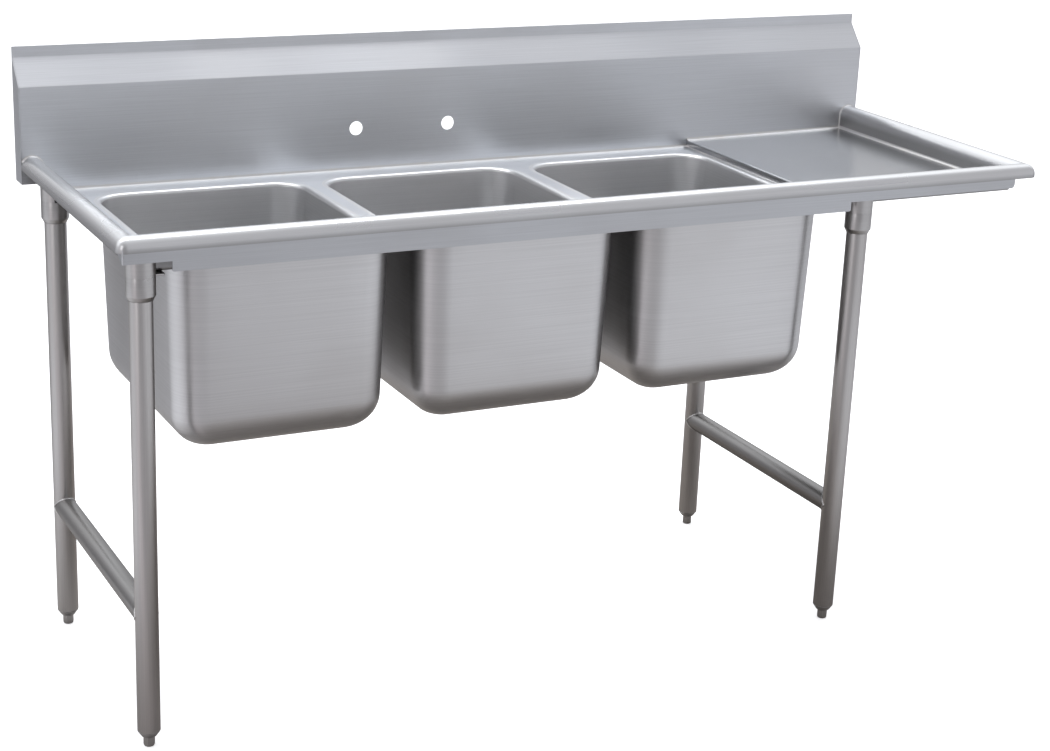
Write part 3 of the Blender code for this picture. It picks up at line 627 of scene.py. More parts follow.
def steel(name, tint, rough, uneven=0.10, lines=900.0, run=5.0, depth=0.10, follow=True,
          marks=1.0, drops=0.0, wave=0.2, shade=0.88, painted_shade_band=None):
    """Brushed stainless finish. Streaks and bands of the grain move its colour and roughness a
    little, smudges and dried drops make it less glossy, and hairlines and slow waves tilt its
    normal. Given a band of heights, it also paints shade below that band: a dark warm tint,
    with more roughness."""
    material, tree, given = new_material(name)
    solid_place = object_place(tree)
    place = grain_place(tree) if follow else solid_place
    grain = group_node(tree, "brushed grain", {"Place": place, "Run": run, "Lines": lines})
    hands = group_node(tree, "handling marks", {"Place": solid_place, "Size": 4.0,
                                                "Scratches": 0.4})
    light, dark, warm = scaled(tint, 1.06), scaled(tint, shade), scaled(tint, 0.92, 0.905, 0.89)
    tone = maths(tree, "ADD", times(tree, grain["Streaks"], 0.7), times(tree, grain["Bands"], 0.3))
    base = blend_colour(tree, tone, dark, light)
    base = blend_colour(tree, times(tree, hands["Smudge"], 0.45 * marks), base, warm)
    base = blend_colour(tree, times(tree, hands["Scratch"], 0.5), base, light)
    gloss = between(tree, grain["Bands"], rough - uneven / 2, rough + uneven / 2)
    gloss = maths(tree, "ADD", gloss, times(tree, hands["Smudge"], 0.08 * marks))
    if drops:
        spots = group_node(tree, "water marks", {"Place": solid_place})
        share = times(tree, spots["Mask"], drops)
        base = blend_colour(tree, times(tree, share, 0.35), base, light)
        gloss = maths(tree, "ADD", gloss, times(tree, share, 0.16))
    # Painted shade: below the given heights the colour turns dark and warm.
    if painted_shade_band:
        height = add(tree, "ShaderNodeSeparateXYZ", {0: solid_place}).outputs[2]
        painted_shade_share = maths(tree, "SUBTRACT", 1.0, band(tree, height, *painted_shade_band))
        base = blend_colour(tree, times(tree, painted_shade_share, 0.75), base, scaled(warm[:3], 0.42))
        gloss = maths(tree, "ADD", gloss, times(tree, painted_shade_share, 0.14))
    slow = bump(tree, wave, 0.004, hands["Wave"])
    wire(tree, given, Base_Color=base, Roughness=gloss,
         Normal=bump(tree, depth, 0.0004, grain["Height"], Normal=slow))
    return material


def weld_metal(name, tint):
    """Weld bead: bright rippled metal with a little straw left by the heat."""
    material, tree, given = new_material(name)
    ripple = group_node(tree, "weld ripple", {"Place": grain_place(tree), "Rings": 1500.0})
    tinge = group_node(tree, "weld ripple", {"Place": object_place(tree), "Rings": 60.0})
    straw = scaled(tint, 0.95, 0.86, 0.72)
    wire(tree, given,
         Base_Color=blend_colour(tree, times(tree, tinge["Heat"], 0.15), (*tint, 1.0), straw),
         Roughness=between(tree, tinge["Heat"], 0.34, 0.42),
         Normal=bump(tree, 0.05, 0.0003, ripple["Height"]))
    return material


def black_rubber(name, tint):
    """Moulded rubber: dark and matt, with fine pores and a dusty bloom."""
    material, tree, given = new_material(name, metallic=0.0)
    place = object_place(tree)
    hands = group_node(tree, "handling marks", {"Place": place, "Size": 60.0, "Scratches": 0.2})
    dusty = (*(value * 2.6 + 0.01 for value in tint), 1.0)
    wire(tree, given, Base_Color=blend_colour(tree, hands["Smudge"], (*tint, 1.0), dusty),
         Roughness=between(tree, hands["Smudge"], 0.55, 0.8),
         Normal=bump(tree, 0.2, 0.0002, noise(tree, place, 1800.0, 2.0)))
    return material


FINISH = {}


def make_finishes(colours):
    """Build the shared groups, then every finish from the colours set by the user."""
    GROUPS.update({"brushed grain": brushed_grain(), "handling marks": handling_marks(),
                   "water marks": water_marks(), "weld ripple": weld_ripple()})
    sheet, bowl, tube = tuple(colours.sheet), tuple(colours.bowl), tuple(colours.tube)
    metal = tuple(colours.hardware)
    FINISH.update({
        "sheet": steel("satin sheet", sheet, 0.36, lines=1100.0, drops=0.15, shade=0.93),
        # The apron is a darker copy of the sheet: painted shade below the roll.
        "apron": steel("apron sheet with painted shade", scaled(sheet, 0.84)[:3], 0.38,
                       lines=1100.0, shade=0.92),
        "deck": steel("satin deck", sheet, 0.33, lines=1100.0, drops=0.5),
        "bowl": steel("drawn bowl", bowl, 0.36, lines=1000.0, run=4.0, drops=0.3, shade=0.92),
        # The rim gets painted shade below its crest, down its inner wall and lip.
        "rim": steel("polished rim", tuple(colours.rim), 0.27, uneven=0.04, lines=1500.0,
                     run=4.0, depth=0.05, shade=0.94, painted_shade_band=(RIM_TOP - 0.030, RIM_TOP - 0.012)),
        "board": steel("drainboard sheet", tuple(colours.board), 0.20, uneven=0.06,
                       lines=1200.0, run=4.0, depth=0.05, drops=0.15, wave=0.15, shade=0.92),
        "tube": steel("satin tube", tube, 0.32, uneven=0.06, lines=1500.0, run=3.0,
                      depth=0.08, shade=0.9),
        # The rails are a darker copy of the tube: painted shade under the sink.
        "rail": steel("rail tube with painted shade", scaled(tube, 0.55)[:3], 0.34, uneven=0.06,
                      lines=1500.0, run=3.0, depth=0.08, shade=0.9),
        "hardware": steel("turned steel", metal, 0.30, lines=2500.0, run=8.0, shade=0.88),
        "drain": steel("polished drain", tuple(colours.drain), 0.16, uneven=0.06,
                       lines=2200.0, run=8.0, depth=0.05, drops=1.0, marks=0.6),
        "plain": steel("unpolished sheet", sheet, 0.40, lines=700.0, follow=False),
        "small": steel("small hardware", metal, 0.28, lines=3000.0, run=40.0, follow=False),
        "weld": weld_metal("weld bead", tuple(colours.weld)),
        "rubber": black_rubber("gasket rubber", tuple(colours.rubber))})


# --- pieces ----------------------------------------------------------------------------------
def rim_line(sizes, steps=16):
    """Section of the rim as (distance in from the edge, height), from its lip to its toe."""
    low, wide = RIM_TOP - sizes.roll - sizes.lip, 2 * sizes.roll
    return rounded_line([(0.0, low), (0.0, RIM_TOP), (wide, RIM_TOP), (wide, DECK_TOP),
                         (FOOTPRINT, DECK_TOP)],
                        [0.0, sizes.roll, sizes.roll, sizes.cove, 0.0], steps)


def rim_surface(sizes):
    """Rim section carried round three sides. At distance u in from the edge, a corner is an arc
    of radius (corner - u), or of the mitre's radius further in. Beside the drainboard the toe
    stops at the board's underside."""
    line = rim_line(sizes)
    inward, height = line[:, :1], line[:, 1:]
    radius = np.maximum(sizes.corner - inward, sizes.mitre)
    turn = np.linspace(np.pi, 1.5 * np.pi, 15)
    left_x = LEFT_END + inward + radius * (1.0 + np.cos(turn))
    left_y = FRONT + inward + radius * (1.0 + np.sin(turn))
    share = np.linspace(0.0, 1.0, 13)[:-1]
    side_y = SPLASH_FACE + (left_y[:, :1] - SPLASH_FACE) * share
    side_x = LEFT_END + inward + 0.0 * side_y
    middle = np.linspace(0.0, 1.0, 33)[1:-1]
    right_x = LEFT_END + RIGHT_END - left_x[:, ::-1]
    front_x = left_x[:, -1:] + (right_x[:, :1] - left_x[:, -1:]) * middle
    x = np.concatenate([side_x, left_x, front_x, right_x,
                        LEFT_END + RIGHT_END - side_x[:, ::-1]], 1)
    y = np.concatenate([side_y, left_y, left_y[:, -1:] + 0.0 * front_x, left_y[:, ::-1],
                        side_y[:, ::-1]], 1)
    past_riser, under_board = RISER + 0.02, DECK_TOP + sizes.board_step - sizes.sheet
    height = np.where(x > past_riser, np.maximum(height, under_board), height)
    return grid(xyz(x, y, height))


def rim_flares(sizes):
    """Coved weld where each side rim runs into the backsplash, from just inside the rim's edge
    round the roll to the cove."""
    start, radius = 0.002, 0.0028
    line = rim_line(sizes)
    line = line[:int(np.argmin(np.abs(line[:, 1] - DECK_TOP - sizes.cove))) + 1]
    line = line[line[:, 0] > start]
    step = unit(np.gradient(line, axis=0))
    parts = []
    for edge, side in ((LEFT_END, 1.0), (RIGHT_END, -1.0)):
        path = xyz(edge + side * line[:, 0], SPLASH_FACE, line[:, 1])
        out = xyz(-side * step[:, 1], 0.0, step[:, 0])
        parts.append(fillet(path, out, (0.0, -1.0, 0.0), radius))
    return join(*parts)


def deck_surface(sizes, bowls):
    """One cell round each bowl: rings drawn from its rectangle to the bowl's flange. A corner
    arc's points go to the rectangle in proportion to their direction, so cells share seams."""
    corner, direction = loop_rule()
    share = np.linspace(0.0, 1.0, 5)[:, None, None]
    reach = unit(direction) / np.abs(direction).max(1, keepdims=True)
    front, back = FRONT + FOOTPRINT, SPLASH_FACE
    middles = [centre_of(name + "_bowl") for name in BOWLS]
    seams = [LEFT_END + FOOTPRINT, *[(a[0] + b[0]) / 2 for a, b in zip(middles, middles[1:])],
             RISER + sizes.sheet]
    parts = []
    for name, middle, left, right in zip(BOWLS, middles, seams, seams[1:]):
        low, high = span(name + "_bowl")
        half = (high - low)[:2] / 2
        radius = bowls.corner + bowls.border
        hole = middle[:2] + corner * (half - radius) + direction * radius
        room = np.where(reach > 0.0, np.array([right, back]) - middle[:2],
                        middle[:2] - np.array([left, front]))
        outer = middle[:2] + corner * (half - radius) + reach * (room - (half - radius))
        flat = outer * (1.0 - share) + hole * share
        parts.append(grid(raised(flat, DECK_TOP)))
    points, quads, _ = join(*parts)
    return points, quads, points[quads][..., :2]


def bowl_surface(name, sizes, bowls):
    """Rounded rectangles that shrink down the wall: at distance d in from the mouth the half
    sizes are d less and the corner radius d times the taper less. The floor then eases into the
    drain's circle."""
    low, high = span(name + "_bowl")
    middle, half = (low + high)[:2] / 2, (high - low)[:2] / 2 - bowls.border
    floor = low[2] + sizes.sheet + bowls.recess_depth
    wall = bowls.draft + bowls.floor_radius
    line = rounded_line([(-bowls.border, DECK_TOP), (0.0, DECK_TOP), (bowls.draft, floor),
                         (wall + 0.012, floor)],
                        [0.0, bowls.mouth, bowls.floor_radius, 0.0], 12)
    drop = np.linspace(0.0, 1.0, 9)[:, None]
    top = int(np.argmax(line[:, 1] < DECK_TOP - bowls.mouth * 0.9))
    line = np.concatenate([line[:top], line[top] + (line[top + 1] - line[top]) * drop,
                           line[top + 2:]])
    corner, direction = loop_rule()
    inward = line[:, :1, None]
    radius = bowls.corner - inward * np.where(inward > 0.0, bowls.taper, 1.0)
    flat = corner * (half - inward - radius) + direction * radius
    rings = raised(flat, line[:, 1:])
    last = flat[-1]
    away = unit(last)
    share = np.linspace(0.0, 1.0, 9)[1:, None, None]
    eased = raised(last * (1.0 - share) + away * bowls.recess * share, floor)
    well = rounded_line([(bowls.recess + 0.002, floor), (bowls.recess, floor),
                         (bowls.recess - 0.0015, floor - bowls.recess_depth),
                         (bowls.outlet, floor - bowls.recess_depth)],
                        [0.0, 0.0006, 0.0006, 0.0], 3)[1:]
    circles = raised(well[:, :1, None] * away, well[:, 1:])
    points = np.concatenate([rings, eased, circles])
    points[..., :2] += middle
    return grid(points)


def board_height(x, sizes):
    """Height of the drainboard at x."""
    run = RIGHT_END - 2 * sizes.roll - RISER - sizes.board_edge
    rise = np.clip(x - RISER - sizes.board_edge, 0.0, None) * sizes.board_fall / run
    return DECK_TOP + sizes.board_step + rise


def board_surface(sizes):
    """Riser and sloping board: one folded line carried from the front rim to the backsplash."""
    right = RIGHT_END - 2 * sizes.roll
    line = rounded_line([(RISER, DECK_TOP), (RISER, DECK_TOP + sizes.board_step),
                         (right, board_height(right, sizes))], [0.0, sizes.board_edge, 0.0], 8)
    y = np.linspace(FRONT + 2 * sizes.roll, SPLASH_FACE, 9)[:, None]
    return grid(xyz(line[:, 0], y, line[:, 1]))


def coved_corners(sizes):
    """Coved welds along the backsplash, round the drainboard and at the riser's foot."""
    inner, right, back = FRONT + 2 * sizes.roll, RIGHT_END - 2 * sizes.roll, SPLASH_FACE
    up, forward, rearward, leftward = (0, 0, 1), (0, -1, 0), (0, 1, 0), (-1, 0, 0)
    low, high = (float(board_height(np.array(x), sizes)) for x in (RISER, right))
    start, radius, small = RISER + 0.001, sizes.fillet, 0.0025
    corners = (((LEFT_END + 2 * sizes.roll, back, DECK_TOP), (RISER, back, DECK_TOP), forward,
                radius),
               ((start, back, low), (right, back, high), forward, radius),
               ((start, inner, low), (right, inner, high), rearward, radius),
               ((right, inner, high), (right, back, high), leftward, radius),
               ((RISER, inner, DECK_TOP), (RISER, back, DECK_TOP), leftward, small))
    return join(*(fillet(np.linspace(first, last, 9), up, floor, size)
                  for first, last, floor, size in corners))


def splash_surface(sizes):
    """Backsplash: a flat panel with two faucet holes, and above it the folded line of slope and
    tile edge, both carried along the sink's length."""
    back, top = SPLASH_BACK - sizes.sheet, SPLASH_TOP
    strip = top - sizes.tile_edge
    fold = strip - sizes.slope
    seam = fold - 0.012
    line = rounded_line([(SPLASH_FACE, seam), (SPLASH_FACE, fold), (back, strip), (back, top)],
                        [0.0, sizes.bend, sizes.bend, 0.0], 8)
    middle = centre_of("middle_bowl")[0]
    height = DECK_TOP + sizes.faucet_rise
    around, cells = 0.040, 8
    low, high = span("backsplash")
    notch = LEFT_END + 2 * sizes.roll - sizes.sheet
    holes = [middle - sizes.faucet_pitch / 2, middle + sizes.faucet_pitch / 2]
    stops = [low[0], notch, holes[0] - around, holes[0] + around, holes[1] - around,
             holes[1] + around, LEFT_END + RIGHT_END - notch, high[0]]
    counts = [1, 12, cells, 4, cells, 16, 1]
    x = np.concatenate([stops[:1], *(np.linspace(a, b, count + 1)[1:]
                                     for a, b, count in zip(stops, stops[1:], counts))])
    end_low = span("left_splash_end")[0][2]
    z = np.concatenate([[low[2], DECK_TOP, end_low],
                        np.linspace(height - around, height + around, cells + 1),
                        np.linspace(height + around, seam, 5)[1:]])
    blocks = [(3, 3 + cells, column, column + cells, np.array([hole, height]), sizes.faucet_hole)
              for hole, column in zip(holes, (sum(counts[:2]), sum(counts[:4])))]
    points, quads, lay = pierced(np.stack(np.meshgrid(x, z), -1), blocks)
    centre = points[quads].mean(1)
    outside = (centre[:, 0] < notch) | (centre[:, 0] > LEFT_END + RIGHT_END - notch)
    keep = ~(outside & (centre[:, 1] < end_low))
    panel = xyz(points[:, 0], SPLASH_FACE, points[:, 1]), quads[keep], lay[keep]
    return join(panel, grid(xyz(x, line[:, :1], line[:, 1:])))


def end_plate(node, sizes):
    """Plate that closes an end of the backsplash: from the splash's line back to its far side."""
    low, high = span(node)
    back = SPLASH_BACK - sizes.sheet
    strip = SPLASH_TOP - sizes.tile_edge
    line = rounded_line([(SPLASH_FACE, low[2]), (SPLASH_FACE, strip - sizes.slope), (back, strip),
                         (back, SPLASH_TOP)], [0.0, sizes.bend, sizes.bend, 0.0], 8)
    share = np.linspace(0.0, 1.0, 5)
    y = line[:, :1] + (SPLASH_BACK - line[:, :1]) * share
    left = node.startswith("left")
    x = low[0] if left else high[0]
    return thicken(grid(xyz(x, y, line[:, 1:]), flip=left), sizes.sheet)


def apron_surface(sizes):
    """Apron behind the roll's lip. Its lower edge steps down between the gussets and is rounded
    at its right end; at its left end it folds back and its lower edge climbs to the lip."""
    low, high = span("front_apron")
    leg, other = centre_of("front_left_leg"), centre_of("front_right_leg")
    socket = leg[0] - span("front_left_gusset")[0][0]
    step, end_radius, round_off = 0.018, 0.008, 0.003
    shallow, deep = low[2] + step, low[2]
    past_left, past_right = 0.021, 0.014
    start, stop = leg[0] + socket + past_left, other[0] - socket - past_right
    lip = RIM_TOP - sizes.roll - sizes.lip
    plan = rounded_line([(low[0], high[1]), (low[0], low[1]), (high[0], low[1])],
                        [0.0, round_off, 0.0], 6)
    curve = high[0] - end_radius
    along = np.concatenate([[start], np.linspace(stop, curve, 9)[1:],
                            curve + end_radius * np.sin(np.linspace(0.1, np.pi / 2, 9))])
    plan = np.concatenate([plan[:-1], xyz(along, low[1])])
    behind = np.clip((plan[:, 1] - low[1] - sizes.sheet) / (high[1] - low[1] - sizes.sheet), 0, 1)
    near = np.clip((plan[:, 0] - curve) / end_radius, 0.0, 1.0)
    edge = shallow + behind * (lip - shallow) + end_radius * (1.0 - np.sqrt(1.0 - near ** 2))
    share = np.linspace(0.0, 1.0, 4)[:, None]
    height = edge + (high[2] - edge) * share
    upper = grid(raised(plan, height))
    turn = np.linspace(0.0, np.pi / 2, 7)
    x = np.concatenate([start + round_off * (1.0 - np.cos(turn)),
                        stop - round_off * (1.0 - np.cos(turn[::-1]))])
    curl = np.concatenate([1.0 - np.sin(turn), 1.0 - np.sin(turn[::-1])])
    bottom = deep + round_off * curl
    share = np.linspace(0.0, 1.0, 3)[:, None]
    height = bottom + (shallow - bottom) * share
    lower = grid(xyz(x, low[1], height))
    return thicken(upper, sizes.sheet), thicken(lower, sizes.sheet)


def socket_part(corner, sizes):
    """Leg socket: a turned sleeve with its lower edge bevelled, and a welding plate with rounded
    corners. At the rear right a bead joins them; elsewhere the sleeve goes up inside the rim."""
    play, bevel_width, bevel_height = 0.0004, 0.0045, 0.0085
    plate_thickness, plate_corner, under_rim, in_the_open = 0.003, 0.004, 0.004, 0.024
    low, high = span(corner + "_gusset")
    axis = foot_of_axis(corner + "_leg")
    outer = span("front_right_gusset")
    radius = (outer[1][0] - outer[0][0]) / 2
    bore = (span(corner + "_leg")[1][0] - span(corner + "_leg")[0][0]) / 2 + play
    base, top = low[2], outer[1][2]
    plate = top - plate_thickness
    profile = rounded_line([(bore, base + 0.01), (bore, base), (radius - bevel_width, base),
                            (radius, base + bevel_height), (radius, top), (bore, top),
                            (bore, base + 0.01)],
                           [0, 0.0006, 0.0015, 0.002, 0.0003, 0.0003, 0], 4)
    parts = [turned(profile, axis, 72)]
    rule, direction = loop_rule(6, 4)
    left, front = corner.endswith("left"), corner.startswith("front")
    start = axis[:2] - [under_rim if left else in_the_open, under_rim if front else in_the_open]
    half = (high[:2] - start) / 2
    outline = start + half + rule * (half - plate_corner) + direction * plate_corner
    parts.append(slab(outline, plate, top))
    if not left and not front:
        turn = np.linspace(0.0, 2 * np.pi, 73)
        ring = round_axis(radius + 0.0006, turn, plate - 0.0008) + axis
        ripple = 0.0012 * (1.0 + 0.08 * np.sin(31.0 * turn))
        parts.append(bead(ring, ripple, (0.0, 0.0, 1.0), closed=True))
    else:
        wall = 2 * sizes.roll - sizes.sheet - 0.0003
        side = np.arccos(np.clip((LEFT_END + wall - axis[0]) / radius, -1.0, 1.0))
        fore = np.arcsin(np.clip((FRONT + wall - axis[1]) / radius, -1.0, 1.0))
        first = side if left else np.pi - fore
        last = 2 * np.pi + (fore if front else -side)
        levels = np.array([[top], [span("front_left_gusset")[1][2]]])
        sleeve = round_axis(radius, np.linspace(first, last, 49), levels)
        parts.append(thicken(grid(sleeve + axis), radius - bore - 0.0005))
    return join(*parts)


def leg_part(corner, fittings):
    """Leg tube with its two ends lightly rounded."""
    low, high = span(corner + "_leg")
    radius = (high[0] - low[0]) / 2
    inner = radius - fittings.wall
    line = rounded_line([(inner, low[2] + 0.01), (inner, low[2]), (radius, low[2]),
                         (radius, high[2]), (inner, high[2]), (inner, low[2] + 0.01)],
                        [0.0, 0.0002, 0.0008, 0.0004, 0.0002, 0.0], 4)
    axis = foot_of_axis(corner + "_leg")
    return turned(line, axis, 72, turned_grain=True)


def rail_part(side, fittings):
    """Cross rail coped to both legs: on a circle round its axis, each end stands off the leg's
    axis by the root of the leg's radius squared less x squared. A bead follows each cope."""
    front, rear = centre_of("front_" + side + "_leg"), centre_of("rear_" + side + "_leg")
    low, high = span(side + "_cross_rail")
    radius = (high[0] - low[0]) / 2
    middle = (low + high) / 2
    turn = np.linspace(0.0, 2 * np.pi, 73)
    x, z = radius * np.cos(turn), radius * np.sin(turn)
    stand = np.sqrt(np.clip(radius ** 2 - x ** 2, 0.0, None)) + 0.0003
    share = np.linspace(0.0, 1.0, 5)[:, None]
    start, stop = front[1] + stand, rear[1] - stand
    y = start + (stop - start) * share
    ring = xyz(middle[0] + x, y, middle[2] + z)
    tube = thicken(grid(ring, flip=True, turned_grain=True), fittings.wall)
    out = xyz(np.cos(turn), 0.0, np.sin(turn))
    ripple = fittings.bead * (1.0 + 0.12 * np.sin(29.0 * turn))
    beads = [bead(xyz(middle[0] + x, edge, middle[2] + z), ripple, out, closed=True)
             for edge in (start, stop)]
    return tube, join(*beads)


def insert_part(corner, fittings):
    """Threaded plug: a tapered collar below the leg, and a body inside it with a bore."""
    low, high = span(corner + "_leg_insert")
    radius, body = (high[0] - low[0]) / 2, (high[0] - low[0]) / 2 - 0.0019
    nose, bore = 0.0135, fittings.stem + 0.0004
    top = span(corner + "_leg")[0][2] - 0.0002
    line = rounded_line([(bore, high[2] - 0.002), (bore, low[2]), (nose, low[2]),
                         (radius, top - 0.0004), (radius, top), (body, top), (body, high[2]),
                         (bore, high[2]), (bore, high[2] - 0.002)],
                        [0, 0.0004, 0.0012, 0.0006, 0.0004, 0, 0.0008, 0.0004, 0], 4)
    return turned(line, foot_of_axis(corner + "_leg_insert"), 64)


def foot_part(corner, fittings):
    """Adjustable foot. Below, the radius is the least of a hexagon's and of an ellipse and a
    bevel that round its ends; above, it falls and rises by a cosine of (height / pitch - turn)."""
    low, high = span(corner + "_foot")
    axis = foot_of_axis(corner + "_foot")
    turn = np.linspace(0.0, 2 * np.pi, 97)
    end, shoulder, collar = 0.0066, 0.0182, 0.0200
    hexagon = fittings.hexagon * math.cos(math.pi / 6) / np.cos(turn % (np.pi / 3) - np.pi / 6)
    height = np.concatenate([end * (1.0 - np.cos(np.linspace(0.0, np.pi / 2, 9))),
                             [0.010, 0.014], np.linspace(0.0172, collar, 7)])[:, None]
    rounding = 1.0 - np.clip(height / end, 0.0, 1.0)
    ellipse = fittings.pad + (fittings.hexagon - fittings.pad) * np.sqrt(1.0 - rounding ** 2)
    bevel = fittings.hexagon - np.clip(height - shoulder, 0.0, None) * 0.9
    body = np.minimum(np.minimum(hexagon, ellipse), bevel)
    climb = np.linspace(collar, high[2], 180)[:, None]
    groove = 0.5 + 0.5 * np.cos(2 * np.pi * (climb / fittings.thread - turn / (2 * np.pi)))
    tip = np.clip((high[2] - climb) / 0.0015, 0.0, 1.0)
    stem = (fittings.stem - 0.0010 * groove) * (0.85 + 0.15 * tip)
    radius = np.concatenate([0.0 * body[:1], body, stem, 0.0 * stem[:1]])
    level = np.concatenate([height[:1], height, climb, climb[-1:]])
    return solid(grid(round_axis(radius, turn, level) + axis))


def drain_part(name, fittings):
    """Drain body: flange, cup, cone and threaded neck, turned in one piece."""
    low, high = span(name + "_drain_body")
    flange, wall = (high[0] - low[0]) / 2, 0.0015
    cup, inner = fittings.cup, fittings.cup - wall
    neck, bore = fittings.neck, fittings.neck - wall
    end, cone, top = low[2], low[2] + 0.016, high[2]
    line = rounded_line([(flange, top - 0.0012), (flange - 0.0004, top), (inner, top),
                         (inner, cone + 0.006), (bore, cone), (bore, end), (neck, end),
                         (neck, cone - wall), (cup, cone + 0.006 - wall), (cup, top - wall),
                         (flange, top - wall), (flange, top - 0.0012)],
                        [0, 0.0005, 0.0028, 0.002, 0.0015, 0.0005, 0.0005, 0.0015, 0.002, 0.0004,
                         0.0001, 0], 5)
    return turned(line, foot_of_axis(name + "_drain_body"), 96)


def locknut_part(name):
    """Locknut: a ring whose outer radius swells eight times to give a wrench its grip."""
    low, high = span(name + "_drain_locknut")
    lugs, narrow, swell = 8.0, 0.0082, 0.0028
    inner = (high[0] - low[0]) / 2 - narrow - swell
    section = np.array([(0.0, low[2] + 0.002), (0.0, low[2]), (1.0, low[2]), (1.0, high[2]),
                        (0.0, high[2]), (0.0, low[2] + 0.002)])
    turn = np.linspace(0.0, 2 * np.pi, 161)
    width = narrow + swell / (1.0 + np.exp(-8.0 * np.cos(lugs * turn)))
    radius = inner + section[:, :1] * width
    axis = foot_of_axis(name + "_drain_locknut")
    return solid(grid(round_axis(radius, turn, section[:, 1:]) + axis))


# Strainer holes: (count, radius of their circle, radius of a hole, its first and last row of
# cells, half its width in cells).
STRAINER_HOLES = ((12, 0.0335, 0.0023, 1, 5, 3), (6, 0.0240, 0.0042, 6, 10, 5))


def basket_part(name):
    """Lift-out strainer: a floor pierced in two rings, a wall with a rolled lip, and a knob."""
    low, high = span(name + "_drain_basket")
    axis = foot_of_axis(name + "_drain_basket")
    radius, sheet, bend = (high[0] - low[0]) / 2, 0.0011, 0.004
    floor, rim = low[2] + 0.0012, high[2] - 0.009
    rows = np.array([radius - bend, 0.0368, 0.0351, 0.0335, 0.0319, 0.0302, 0.0295, 0.0268,
                     0.0240, 0.0212, 0.0185, 0.0140, 0.0080, 0.0034])[:, None]
    cells = 96
    turn = np.linspace(0.0, 2 * np.pi, cells + 1)
    plane = round_axis(rows, turn, floor)[..., :2]
    blocks = []
    for count, ring, size, first, last, reach in STRAINER_HOLES:
        for column in (2 * np.arange(count) + 1) * cells // (2 * count):
            centre = ring * np.array([np.cos(turn[column]), np.sin(turn[column])])
            blocks.append((first, last, column - reach, column + reach, centre, size))
    points, quads, lay = pierced(plane, blocks, 4)
    points[:, 2] = floor
    line = rounded_line([(radius - 0.0013, rim), (radius - 0.0013, floor),
                         (radius - bend, floor)], [0.0, 0.0026, 0.0], 6)
    wall = round_axis(line[:, :1], turn, line[:, 1:])
    points, quads, lay = thicken(join((points, quads, lay), grid(wall)), sheet)
    lip = round_axis(radius - 0.0009, turn, rim) + axis
    knob = rounded_line([(0.0, floor - 0.0004), (0.0036, floor - 0.0004), (0.0036, rim - 0.002),
                         (0.0090, rim + 0.002), (0.0090, high[2]), (0.0, high[2])],
                        [0, 0.0003, 0.0016, 0.0018, 0.0028, 0], 6)
    return join((points + axis, quads, lay), bead(lip, 0.0008, (0.0, 0.0, 1.0), closed=True),
                turned(knob, axis, 64))


# --- operators -------------------------------------------------------------------------------
class BuildPiece:
    """What the operators of the pieces share."""

    bl_options = {"REGISTER", "UNDO"}

    def execute(self, context):
        """Build the pieces; anything that goes wrong is raised."""
        self.build(context.scene.sink_sheet, context.scene.sink_bowls, context.scene.sink_fittings)
        return {"FINISHED"}


class SINK_OT_finishes(bpy.types.Operator):
    """Make the shared shader groups and every finish"""

    bl_idname = "sink.finishes"
    bl_label = "Make Finishes"

    def execute(self, context):
        make_finishes(context.scene.sink_finish)
        return {"FINISHED"}


class SINK_OT_rim(BuildPiece, bpy.types.Operator):
    """Build the rolled rim and the welds where it meets the backsplash"""

    bl_idname = "sink.rim"
    bl_label = "Rolled Rim"

    def build(self, sheet, bowls, fittings):
        show("rolled_rim", thicken(rim_surface(sheet), sheet.sheet), FINISH["rim"],
             ("front_rim", "left_rim", "right_rim"), sharp=50.0)
        show("rim_welds", rim_flares(sheet), FINISH["weld"], sharp=60.0)


class SINK_OT_deck(BuildPiece, bpy.types.Operator):
    """Build the deck with its three openings"""

    bl_idname = "sink.deck"
    bl_label = "Deck"

    def build(self, sheet, bowls, fittings):
        show("deck_sheet", thicken(deck_surface(sheet, bowls), sheet.sheet), FINISH["deck"],
             ("deck_panel",))


class SINK_OT_bowls(BuildPiece, bpy.types.Operator):
    """Build the three drawn bowls"""

    bl_idname = "sink.bowls"
    bl_label = "Bowls"

    def build(self, sheet, bowls, fittings):
        for name in BOWLS:
            show(name + "_drawn_bowl", thicken(bowl_surface(name, sheet, bowls), sheet.sheet),
                 FINISH["bowl"], (name + "_bowl",))


class SINK_OT_drainboard(BuildPiece, bpy.types.Operator):
    """Build the drainboard and the coved corners round it and along the backsplash"""

    bl_idname = "sink.drainboard"
    bl_label = "Drainboard"

    def build(self, sheet, bowls, fittings):
        show("folded_drainboard", thicken(board_surface(sheet), sheet.sheet), FINISH["board"],
             ("drainboard",))
        show("coved_corners", coved_corners(sheet), FINISH["weld"], sharp=60.0)


class SINK_OT_backsplash(BuildPiece, bpy.types.Operator):
    """Build the backsplash and the plates that close its ends"""

    bl_idname = "sink.backsplash"
    bl_label = "Backsplash"

    def build(self, sheet, bowls, fittings):
        show("folded_backsplash", thicken(splash_surface(sheet), sheet.sheet), FINISH["sheet"],
             ("backsplash",))
        for side in ("left", "right"):
            node = side + "_splash_end"
            show(node + "_plate", end_plate(node, sheet), FINISH["sheet"], (node,))


class SINK_OT_apron(BuildPiece, bpy.types.Operator):
    """Build the front apron"""

    bl_idname = "sink.apron"
    bl_label = "Front Apron"

    def build(self, sheet, bowls, fittings):
        show("stepped_apron", join(*apron_surface(sheet)), FINISH["apron"],
             ("front_apron",))


class SINK_OT_sockets(BuildPiece, bpy.types.Operator):
    """Build the four leg sockets"""

    bl_idname = "sink.sockets"
    bl_label = "Leg Sockets"

    def build(self, sheet, bowls, fittings):
        for corner in CORNERS:
            show(corner + "_leg_socket", socket_part(corner, sheet),
                 FINISH["hardware"], (corner + "_gusset",))


